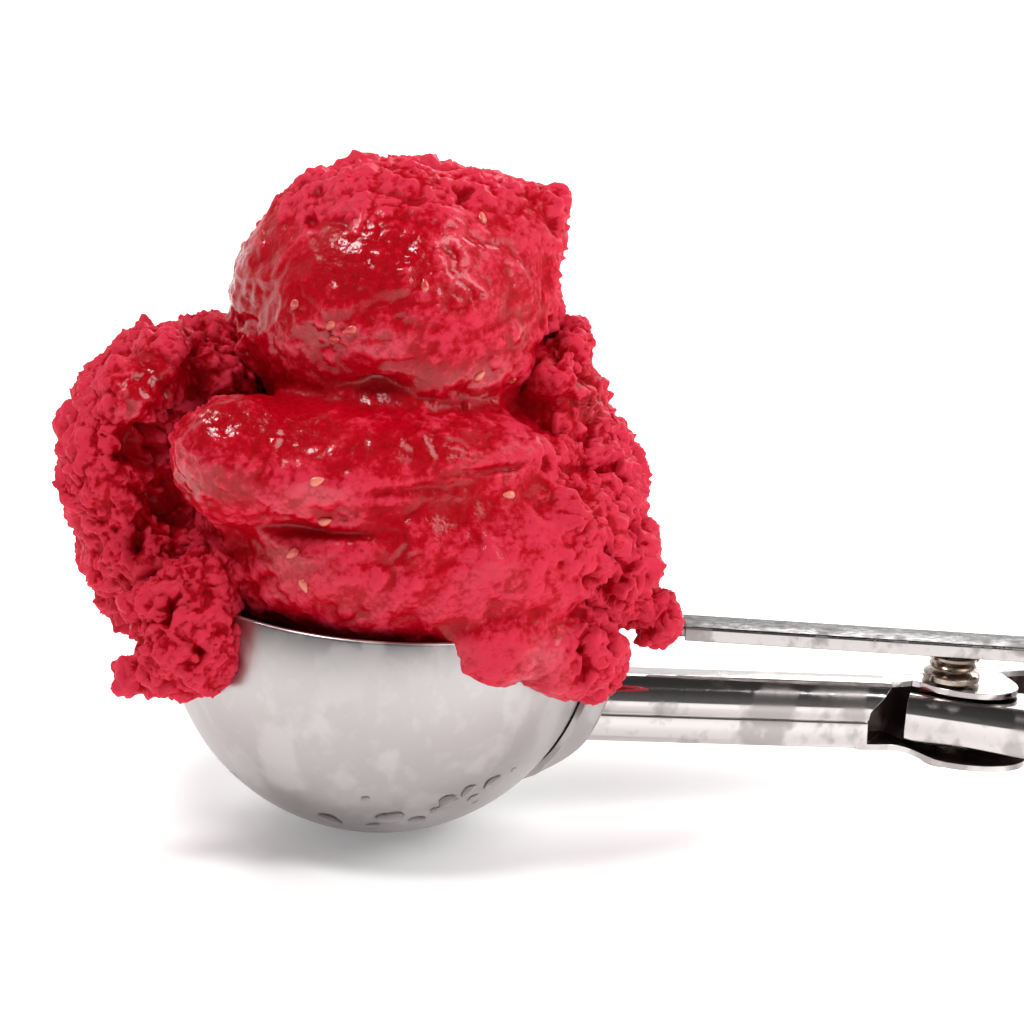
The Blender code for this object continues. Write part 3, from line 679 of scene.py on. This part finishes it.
def crumbs(points, size, seed, least=0.25):
    """Crumb relief from 0 to 1: each cube of the given size holds one crumb of random
    height from least to 1, and a point gets the nearest one's height times
    1 - (distance / size) squared."""
    table = np.random.default_rng(seed).uniform(0.08, 0.92, (24, 24, 24, 4))
    scaled = points / size + 3.1 * seed
    cell = np.floor(scaled).astype(np.int64)
    nearest = np.full(len(points), 9.0)
    tall = np.zeros(len(points))
    for offset in itertools.product((-1, 0, 1), repeat=3):
        near = cell + offset
        index = near % 24
        found = table[index[:, 0], index[:, 1], index[:, 2]]
        apart = ((scaled - near - found[:, :3]) ** 2).sum(axis=1)
        closer = apart < nearest
        nearest = np.where(closer, apart, nearest)
        tall = np.where(closer, found[:, 3], tall)
    return (least + (1.0 - least) * tall) * np.clip(1.0 - nearest, 0.0, 1.0)


def regions(points, places):
    """Sum of soft ellipsoidal places, each (middle, half sizes, amount): amount at the
    middle, falling off as exp(-1.6 d^2) with d the distance in half sizes."""
    total = np.zeros(len(points))
    for middle, half, amount in places:
        d2 = (((points - np.array(middle)) / np.array(half)) ** 2).sum(axis=1)
        total += amount * np.exp(-1.6 * d2)
    return total


def fused(name, lobes, voxel):
    """One closed skin over overlapping ellipsoids, each (middle, half sizes, turn about
    Y in degrees) in millimetres: re-skinned with coarse voxels and relaxed, so that the
    ellipsoids melt together, then re-skinned with fine ones."""
    bm = bmesh.new()
    for middle, half, turn in lobes:
        place = (Matrix.Translation(Vector(middle) * MM) @ Matrix.Rotation(math.radians(turn), 4, "Y")
                 @ Matrix.Diagonal((*(Vector(half) * MM), 1.0)))
        bmesh.ops.create_icosphere(bm, subdivisions=4, radius=1.0, matrix=place)
    mesh = bpy.data.meshes.new(name)
    bm.to_mesh(mesh)
    bm.free()
    made = placed(name, mesh)
    for step, size, rounds in (("join", JOIN_VOXEL, JOIN_ROUNDS), ("skin", voxel, SKIN_ROUNDS)):
        remesh = made.modifiers.new(step, "REMESH")
        remesh.mode = "VOXEL"
        remesh.voxel_size = size * MM
        relax = made.modifiers.new(step + "_relax", "SMOOTH")
        relax.factor = 0.5
        relax.iterations = rounds
    baked = bpy.data.meshes.new_from_object(made.evaluated_get(bpy.context.evaluated_depsgraph_get()))
    made.modifiers.clear()
    made.data = baked
    bpy.data.meshes.remove(mesh)
    return made


def read_points(mesh):
    """The mesh's points and normals as arrays."""
    count = len(mesh.vertices)
    points = np.empty(count * 3)
    normals = np.empty(count * 3)
    mesh.vertices.foreach_get("co", points)
    mesh.vertex_normals.foreach_get("vector", normals)
    return points.reshape(-1, 3), normals.reshape(-1, 3)


def relaxed(mesh, values, rounds):
    """Each row of values moved towards the mean of its neighbours' rows, rounds times."""
    edges = np.empty(len(mesh.edges) * 2, dtype=np.int64)
    mesh.edges.foreach_get("vertices", edges)
    edges = edges.reshape(-1, 2)
    ends = np.concatenate([edges[:, 0], edges[:, 1]])
    others = np.concatenate([edges[:, 1], edges[:, 0]])
    count = len(values)
    valence = np.maximum(np.bincount(ends, minlength=count), 1)
    for _ in range(rounds):
        means = [np.bincount(ends, values[others, k], count) / valence for k in range(values.shape[1])]
        values = 0.4 * values + 0.6 * np.stack(means, axis=1)
    return values


# Each place: middle and half sizes in millimetres, then how far it stands out or in
SHAPES = (
    ((-33.0, -12.0, 59.0), (4.0, 7.0, 4.0), -4.5),
    ((-25.0, -7.0, 69.0), (2.6, 9.0, 6.0), -3.5),
    ((-29.5, -13.0, 50.0), (4.5, 9.0, 5.0), -4.0),
    ((-2.5, -22.0, 68.4), (4.0, 5.0, 1.3), -3.2),
    ((-12.0, -27.0, 50.6), (12.0, 7.0, 1.1), -2.0),
    ((-24.7, -24.0, 40.5), (2.0, 5.0, 1.8), -2.4),
    ((14.0, -28.0, 58.3), (7.0, 6.0, 0.9), -1.2),
    ((2.0, -29.0, 56.5), (10.0, 6.0, 1.0), -0.9),
    ((26.0, -19.0, 59.0), (2.4, 6.0, 7.0), -2.6),
    ((33.0, -15.0, 37.0), (2.2, 6.0, 2.6), -2.6),
    ((22.5, -11.0, 70.5), (3.0, 9.0, 1.6), -2.2),
    ((18.0, -22.0, 66.5), (5.0, 6.0, 1.2), -1.2),
)
# Each place: middle and half sizes, then how much wetter and darker (or paler) it is; syrupy patches, with
# painted shade on the ball's left side and in the left valley, and painted light on the pale edge crumbs
SYRUP_AND_PAINTED_LIGHT = (
    ((-4.0, -19.0, 83.0), (13.0, 9.0, 8.0), 0.50),
    ((-19.0, -8.0, 76.0), (7.0, 12.0, 12.0), 0.60),
    ((28.0, -14.0, 62.0), (6.0, 9.0, 6.0), 0.50),
    ((25.0, -20.0, 50.0), (3.0, 6.0, 5.0), 0.45),
    ((1.5, -29.0, 62.5), (10.0, 6.0, 3.5), 0.55),
    ((7.6, -30.0, 54.0), (6.0, 5.0, 3.2), 0.45),
    ((0.2, -30.0, 49.0), (3.0, 4.0, 3.0), 0.45),
    ((-17.0, -21.0, 64.0), (12.0, 9.0, 3.6), 0.55),
    ((-24.0, -22.0, 57.0), (6.0, 9.0, 4.0), 0.30),
    ((-29.0, -16.0, 50.5), (8.0, 9.0, 6.0), 0.60),
    ((-33.0, -13.0, 60.0), (7.0, 9.0, 8.0), 0.50),
    ((-30.0, -14.0, 68.0), (8.0, 8.0, 5.0), 0.40),
    ((-2.0, -21.0, 69.5), (20.0, 8.0, 2.5), 0.35),
    ((18.0, -27.0, 45.0), (9.0, 8.0, 11.0), -0.22),
    ((13.0, -18.0, 83.0), (8.0, 7.0, 2.5), -0.25),
    ((-41.0, -6.0, 58.0), (6.0, 12.0, 13.0), -0.25),
    ((36.0, -8.0, 50.0), (8.0, 16.0, 15.0), -0.30),
    ((-9.0, -12.0, 90.5), (8.0, 8.0, 4.0), -0.20),
)


def torn_share(p):
    """How crumbly the sorbet is, from 0 smeared smooth to 1 torn, by place in mm."""
    x, y, z = p[:, 0], p[:, 1], p[:, 2]
    wander = 3.0 * cloud(p, 8.0, 11) + 1.2 * cloud(p, 3.0, 12)
    right = ease(x + wander, 20.5, 25.5) * ease(x - 0.45 * y + wander, 24.0, 31.0)
    right = right * (1.0 - ease(z, 66.0, 70.0))
    ball_edge = ease(x + 0.8 * wander - 0.25 * y, 22.0, 26.0) * ease(z, 64.0, 68.0)
    left = ease(-x + 0.3 * y + 0.4 * wander, 14.0, 19.0) * (1.0 - ease(z, 72.0, 76.0))
    left = left * (1.0 - np.clip(regions(p, [((-31.0, -11.0, 67.0), (7.0, 8.0, 4.5), 0.9),
                                             ((-20.0, -24.0, 59.0), (15.0, 9.0, 8.5), 2.2)]), 0.0, 1.0))
    back = ease(y + wander, 4.0, 14.0)
    crown = 0.8 * ease(z + 0.7 * wander, 88.0, 91.5)
    drip = 0.75 * ease(-x, 15.0, 19.0) * (1.0 - ease(z, 43.0, 47.0))
    return np.clip(np.maximum.reduce([right, ball_edge, left, back, crown, drip]), 0.0, 1.0)


def roughen(lump):
    """Give a mass its relief: swells, smears and pits where smooth; clumps, crumbs and
    hollows where torn. Stores how frosted each point is, painted shade and painted
    highlight included, and how wet it is."""
    mesh = lump.data
    points, normals = read_points(mesh)
    p = points / MM
    torn = torn_share(p)
    warp = np.stack([cloud(p, 3.5, seed) for seed in (21, 22, 23)], axis=1)
    q = p + 0.8 * warp
    streak = p * np.array([0.8, 0.8, 1.15]) + 0.5 * warp

    # Relief in millimetres where the sorbet is smeared smooth
    swell = 0.75 * cloud(p, 12.0, 31) + 0.45 * cloud(p, 5.5, 32)
    smear = 0.55 * clouds(streak, 3.4, 3, 33)
    folds = -0.40 * ease(1.0 - np.abs(clouds(streak, 7.0, 3, 35)), 0.86, 1.0)
    folds = folds * ease(cloud(p, 9.0, 36), -0.1, 0.4)
    grainy = 0.35 + 0.65 * ease(clouds(p, 8.0, 2, 37), -0.2, 0.3)
    grain = grainy * (0.62 * crumbs(q, 1.9, 41) + 0.42 * crumbs(p, 0.95, 42))
    smooth_part = swell + smear + folds + grain - 0.3

    # Relief in millimetres where it is torn, from clumps down to single crumbs
    clumps = 2.4 * (crumbs(q, 4.8, 51) - 0.35)
    bits = 1.10 * (crumbs(q, 2.3, 52) - 0.35)
    fine = 1.05 * (crumbs(q, 1.2, 53) - 0.35)
    grit = 0.70 * (crumbs(p, 0.75, 54) - 0.35)
    hollow = -2.6 * ease(clouds(q, 4.0, 3, 55), 0.20, 0.55)
    torn_part = 0.3 * swell + clumps + bits + fine + grit + hollow

    lift = (1.0 - torn) * smooth_part + torn * torn_part + regions(p, SHAPES)
    sideways = torn[:, None] * 0.5 * np.stack([cloud(p, 1.5, seed) for seed in (61, 62, 63)], axis=1)
    moved = p + normals * lift[:, None] + sideways
    mesh.vertices.foreach_set("co", (moved * MM).ravel())
    mesh.update()

    # Colour and gloss: crests are paler, partly frosted and partly painted highlight, hollows darker in
    # painted shade, and the places above add syrupy patches, painted shade and painted light
    level = relaxed(mesh, moved, 8)
    raised = (normals * (moved - level)).sum(axis=1)
    sunk = (normals * (relaxed(mesh, level, 40) - level)).sum(axis=1)
    syrup_and_painted_light = regions(p, SYRUP_AND_PAINTED_LIGHT)
    frost_and_shade = 0.22 + 0.26 * clouds(p, 6.0, 3, 71) + 0.22 * clouds(p, 1.5, 2, 74)
    frost_and_shade = frost_and_shade + 1.25 * np.clip(raised, -0.45, 0.45)
    frost_and_shade = frost_and_shade + 0.12 * torn - syrup_and_painted_light - 0.65 * np.clip(sunk, -0.2, 1.2)
    wet = 0.45 + 0.5 * clouds(p, 7.0, 2, 81) - 0.4 * torn + 0.9 * syrup_and_painted_light
    for label, values in (("frost_and_shade", frost_and_shade), ("wet", wet)):
        layer = mesh.attributes.new(label, "FLOAT", "POINT")
        layer.data.foreach_set("value", np.clip(values, 0.0, 1.0))
    mesh.shade_smooth()
    return lump


def sorbet_finish():
    """Wet sorbet: deep syrupy red to frosted pink, with painted shade and painted highlight in the colour,
    gloss where wet, fine ice grain.
    """
    made = bpy.data.materials.new("sorbet")
    made.use_nodes = True
    tree = made.node_tree
    shader = tree.nodes["Principled BSDF"]
    frost_and_shade = tree.nodes.new("ShaderNodeAttribute")
    frost_and_shade.attribute_name = "frost_and_shade"
    wet = tree.nodes.new("ShaderNodeAttribute")
    wet.attribute_name = "wet"
    ice = stretched_noise(tree, 2600.0, (1.0, 1.0, 1.0), 3.0)
    mottle = stretched_noise(tree, 1500.0, (1.0, 1.0, 1.0), 4.0)
    mixed = tree.nodes.new("ShaderNodeMath")
    mixed.operation = "MULTIPLY_ADD"
    mixed.inputs[1].default_value = 0.95
    tree.links.new(mottle.outputs[0], mixed.inputs[0])
    tree.links.new(frost_and_shade.outputs["Fac"], mixed.inputs[2])
    # Painted shade and painted highlight stored with the frosting turn into darker and paler red here
    ramp = tree.nodes.new("ShaderNodeValToRGB")
    ramp.color_ramp.elements[0].position = 0.25
    ramp.color_ramp.elements[0].color = (0.30, 0.0002, 0.003, 1.0)
    ramp.color_ramp.elements[1].position = 1.0
    ramp.color_ramp.elements[1].color = (0.63, 0.027, 0.058, 1.0)
    middle = ramp.color_ramp.elements.new(0.68)
    middle.color = (0.44, 0.0006, 0.009, 1.0)
    tree.links.new(mixed.outputs[0], ramp.inputs[0])
    tree.links.new(ramp.outputs[0], shader.inputs["Base Color"])
    tree.links.new(ranged(tree, wet.outputs["Fac"], 0.1, 0.9, 0.50, 0.24), shader.inputs["Roughness"])
    tree.links.new(ranged(tree, wet.outputs["Fac"], 0.30, 0.95, 0.02, 0.85), shader.inputs["Coat Weight"])
    shader.inputs["Coat Roughness"].default_value = 0.05
    shader.inputs["Specular IOR Level"].default_value = 0.06
    shader.inputs["Subsurface Weight"].default_value = 0.12
    shader.inputs["Subsurface Radius"].default_value = (1.0, 0.2, 0.2)
    shader.inputs["Subsurface Scale"].default_value = 2.5 * MM
    relief = tree.nodes.new("ShaderNodeMath")
    relief.operation = "MULTIPLY_ADD"
    relief.inputs[1].default_value = 0.45
    tree.links.new(ice.outputs[0], relief.inputs[0])
    tree.links.new(mottle.outputs[0], relief.inputs[2])
    for depth, socket in ((0.12, "Normal"), (0.06, "Coat Normal")):
        bump = tree.nodes.new("ShaderNodeBump")
        bump.inputs["Strength"].default_value = 1.0
        bump.inputs["Distance"].default_value = depth * MM
        tree.links.new(relief.outputs[0], bump.inputs["Height"])
        tree.links.new(bump.outputs[0], shader.inputs[socket])
    return made


sorbet_material = sorbet_finish()

# Each mass: its voxel size in millimetres, then its lobes (middle, half sizes, turn)
MASSES = {
    "sorbet_heap": (0.47, [
        ((2.5, 0.5, 75.3), (22.4, 22.6, 19.2), 0.0),
        ((13.2, 1.0, 82.7), (12.4, 14.8, 9.7), 0.0),
        ((20.3, 1.5, 85.2), (5.8, 9.0, 5.6), 0.0),
        ((23.8, 0.0, 88.4), (2.3, 4.2, 2.3), 0.0),
        ((3.5, 0.0, 46.0), (31.0, 30.8, 20.5), 0.0),
        ((-2.5, -16.8, 57.6), (26.0, 12.8, 8.6), 2.0),
        ((-19.5, -17.8, 58.8), (10.0, 9.4, 8.6), 0.0),
        ((7.0, -18.5, 45.5), (24.6, 12.8, 11.7), 0.0),
        ((13.2, -22.3, 34.2), (10.0, 8.0, 6.6), 0.0),
        ((22.5, -19.0, 30.7), (8.6, 7.6, 6.6), 0.0),
    ]),
    "sorbet_right": (0.35, [
        ((25.6, -1.0, 47.5), (11.2, 18.6, 12.6), 0.0),
        ((22.6, 1.0, 59.6), (8.8, 15.0, 8.6), 0.0),
        ((31.0, -9.0, 36.5), (6.4, 8.3, 5.4), 0.0),
        ((37.3, -11.5, 32.2), (3.7, 3.6, 4.4), 0.0),
        ((27.0, -15.2, 27.4), (6.0, 4.8, 5.6), 0.0),
        ((28.5, -13.0, 41.0), (8.0, 9.0, 9.0), 0.0),
        ((26.8, -3.0, 70.2), (2.6, 3.4, 2.4), 0.0),
        ((23.5, -6.0, 67.0), (5.0, 9.0, 4.5), 0.0),
    ]),
    "sorbet_left": (0.38, [
        ((-27.5, 8.0, 55.0), (14.5, 15.8, 15.6), 0.0),
        ((-36.2, -2.0, 54.0), (7.6, 11.5, 12.5), 0.0),
        ((-23.0, 6.0, 65.0), (8.0, 10.0, 6.8), 0.0),
        ((-28.0, -4.0, 69.0), (4.8, 6.5, 4.4), 0.0),
        ((-33.8, -8.0, 65.0), (5.2, 5.6, 4.8), 15.0),
        ((-27.0, 6.0, 42.0), (14.0, 16.8, 12.4), 0.0),
        ((-33.5, -5.0, 43.0), (7.0, 10.0, 8.0), 0.0),
        ((-29.8, 0.0, 36.2), (10.4, 9.4, 7.2), 0.0),
    ]),
    "sorbet_drip": (0.34, [
        ((-26.3, -18.0, 33.0), (6.4, 6.8, 7.6), 0.0),
        ((-30.0, -17.0, 37.5), (4.8, 5.2, 5.0), 0.0),
        ((-28.9, -17.0, 42.6), (2.3, 3.4, 3.6), 0.0),
        ((-35.2, -15.2, 38.0), (2.1, 2.2, 2.1), 0.0),
        ((-34.0, -15.6, 28.4), (3.2, 3.2, 2.4), 10.0),
        ((-29.5, -16.5, 30.0), (5.2, 5.0, 4.4), 0.0),
        ((-24.0, -15.5, 41.5), (4.5, 6.0, 5.0), 0.0),
    ]),
}
masses = []
for name, (voxel, lobes) in MASSES.items():
    mass = roughen(fused(name, lobes, voxel))
    mass.data.materials.clear()
    mass.data.materials.append(sorbet_material)
    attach(mass, "scoop")
    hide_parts("sorbet")
    masses.append(mass)

# ---------------------------------------------------------------- raspberry seeds
# Pale seeds, nearly 2 mm long, that show here and there in the sorbet's skin. Each is a
# flattened teardrop laid on the skin; all of them are one mesh.

SEED_HALF_LENGTH = 1.15
SEED_HALF_WIDTH = 0.68
SEED_HALF_DEPTH = 0.42

trees = [BVHTree.FromPolygons([v.co for v in mass.data.vertices], [f.vertices for f in mass.data.polygons])
         for mass in masses]


def skin_hit(origin, direction):
    """The first point and normal on the sorbet along a ray, in metres, or None."""
    best = None
    for tree in trees:
        place, normal, _, distance = tree.ray_cast(origin, direction)
        if place is not None and (best is None or distance < best[2]):
            best = (place, normal, distance)
    return best


# Where the front seeds lie, as (x, z) in millimetres; the rest are scattered all round
front_seeds = [(-7.9, 76.6), (-7.3, 74.7), (-5.4, 76.2), (-12.3, 78.6), (4.5, 82.0),
               (-10.6, 58.4), (-9.5, 52.3), (-12.3, 43.2), (-13.7, 47.5), (16.7, 67.4),
               (11.8, 69.0), (13.2, 88.6), (14.9, 54.5)]
hits = [skin_hit(Vector((x, -60.0, z)) * MM, Vector((0.0, 1.0, 0.0))) for x, z in front_seeds]
scatter = np.random.default_rng(5)
for _ in range(16):
    turn = scatter.uniform(0.1, math.pi - 0.1)
    start = Vector((90.0 * math.cos(turn), 90.0 * math.sin(turn), scatter.uniform(42.0, 88.0))) * MM
    aim = Vector((scatter.uniform(-6.0, 6.0), 0.0, start.z / MM)) * MM
    hits.append(skin_hit(start, (aim - start).normalized()))
hits = [hit for hit in hits if hit is not None]

# The teardrop: an ellipsoid in latitude and turn, narrowed towards its front end
rise, turn = np.meshgrid(np.linspace(0.0, math.pi, 13),
                         np.linspace(0.0, 2.0 * math.pi, 20, endpoint=False), indexing="ij")
narrow = 1.0 - 0.38 * np.cos(rise)
seed_form = np.stack([SEED_HALF_LENGTH * np.cos(rise),
                      SEED_HALF_WIDTH * np.sin(rise) * np.cos(turn) * narrow,
                      SEED_HALF_DEPTH * np.sin(rise) * np.sin(turn) * narrow], axis=-1).reshape(-1, 3)
seed_points = []
seed_faces = []
for place, normal, _ in hits:
    along = normal.cross(Vector((scatter.uniform(-1, 1), 0.3, scatter.uniform(-1, 1)))).normalized()
    seed_axes = np.array([along, normal.cross(along), normal])
    seed_faces.append(grid_faces(*rise.shape, True, len(seed_points) * len(seed_form)))
    size = scatter.uniform(0.62, 0.85)
    seed_points.append(seed_form * size * 1.12 @ seed_axes * MM + np.array(place + normal * 0.05 * MM))
seeds_mesh = bpy.data.meshes.new("seeds")
seeds_mesh.from_pydata(np.concatenate(seed_points).tolist(), [], np.concatenate(seed_faces).tolist())
merged(seeds_mesh, 0.002)
seeds = placed("seeds", seeds_mesh)
seed_material = bpy.data.materials.new("seed")
seed_material.use_nodes = True
tree = seed_material.node_tree
shader = tree.nodes["Principled BSDF"]
husk = stretched_noise(tree, 500.0, (1.0, 1.0, 1.0), 2.0)
ramp = tree.nodes.new("ShaderNodeValToRGB")
ramp.color_ramp.elements[0].position = 0.38
ramp.color_ramp.elements[0].color = (0.55, 0.03, 0.03, 1.0)
ramp.color_ramp.elements[1].position = 0.62
ramp.color_ramp.elements[1].color = (0.74, 0.19, 0.12, 1.0)
tree.links.new(husk.outputs[0], ramp.inputs[0])
tree.links.new(ramp.outputs[0], shader.inputs["Base Color"])
tree.links.new(ranged(tree, husk.outputs[0], 0.3, 0.7, 0.22, 0.4), shader.inputs["Roughness"])
shader.inputs["Coat Weight"].default_value = 0.5
seeds_mesh.materials.append(seed_material)
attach(seeds, "scoop")
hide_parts("sorbet")

# ---------------------------------------------------------------- drops on the bowl
# Meltwater that has run down the cold steel and hangs low on the bowl. Each drop is a
# flattened dome, drawn out downhill, over its own patch of the bowl's sphere.

DROP_RINGS = 9
DROP_SPOKES = 28
DROP_RADIUS = BOWL_RADIUS - 0.01
# Each drop: azimuth and elevation on the bowl in degrees, then its size in millimetres
drops = [(-117.0, -50.0, 1.8), (-92.0, -46.5, 1.9), (-80.5, -50.0, 1.4), (-72.5, -40.0, 1.5),
         (-66.0, -36.5, 1.2), (-57.5, -35.0, 1.3), (-75.5, -44.5, 0.9), (-99.0, -53.0, 1.1),
         (-62.0, -41.0, 0.8)]
for _ in range(14):
    drops.append((scatter.uniform(-170.0, 150.0), scatter.uniform(-58.0, -22.0), scatter.uniform(0.3, 0.75)))
radius, turn = np.meshgrid(np.linspace(0.0, 1.0, DROP_RINGS),
                           np.linspace(0.0, 2.0 * math.pi, DROP_SPOKES, endpoint=False), indexing="ij")
centre = np.array(SCOOP.translation)
drop_points = []
drop_faces = []
for azimuth, elevation, size in drops:
    a, e = math.radians(azimuth), math.radians(elevation)
    out = np.array([math.cos(e) * math.cos(a), math.cos(e) * math.sin(a), math.sin(e)])
    down = np.array([math.sin(e) * math.cos(a), math.sin(e) * math.sin(a), -math.cos(e)])
    side = np.cross(out, down)
    wobble = 1.0 + 0.14 * np.sin(2.0 * turn + a * 9.0) + 0.08 * np.sin(3.0 * turn + e * 7.0)
    u = radius * wobble * np.cos(turn) * (1.0 + 0.25 * (np.cos(turn) > 0.0) * radius)
    v = radius * wobble * np.sin(turn) * 0.92
    # The dome, then its underside, which dips into the steel
    for level in (0.13 * np.sqrt(np.clip(1.0 - radius ** 2, 0.0, 1.0)), -0.08 * (1.0 - radius ** 2)):
        flat = out * DROP_RADIUS + size * (u[..., None] * down + v[..., None] * side)
        reach = np.linalg.norm(flat, axis=-1, keepdims=True)
        dome = flat / reach * (DROP_RADIUS + size * level[..., None])
        drop_faces.append(grid_faces(DROP_RINGS, DROP_SPOKES, True, len(drop_points) * radius.size))
        drop_points.append(dome.reshape(-1, 3) * MM + centre)
drops_mesh = bpy.data.meshes.new("drops")
drops_mesh.from_pydata(np.concatenate(drop_points).tolist(), [], np.concatenate(drop_faces).tolist())
merged(drops_mesh, 0.002)
drops_object = placed("melt_drops", drops_mesh)
water = bpy.data.materials.new("meltwater")
water.use_nodes = True
tree = water.node_tree
shader = tree.nodes["Principled BSDF"]
shader.inputs["Transmission Weight"].default_value = 1.0
shader.inputs["IOR"].default_value = 1.34
haze = stretched_noise(tree, 700.0, (1.0, 1.0, 1.0), 2.0)
tint = tree.nodes.new("ShaderNodeMix")
tint.data_type = "RGBA"
tint.inputs["A"].default_value = (1.0, 0.98, 0.98, 1.0)
tint.inputs["B"].default_value = (0.92, 0.86, 0.87, 1.0)
tree.links.new(haze.outputs[0], tint.inputs["Factor"])
tree.links.new(tint.outputs["Result"], shader.inputs["Base Color"])
tree.links.new(ranged(tree, haze.outputs[0], 0.3, 0.7, 0.02, 0.12), shader.inputs["Roughness"])
drops_mesh.materials.append(water)
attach(drops_object, "scoop")
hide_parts("bowl")
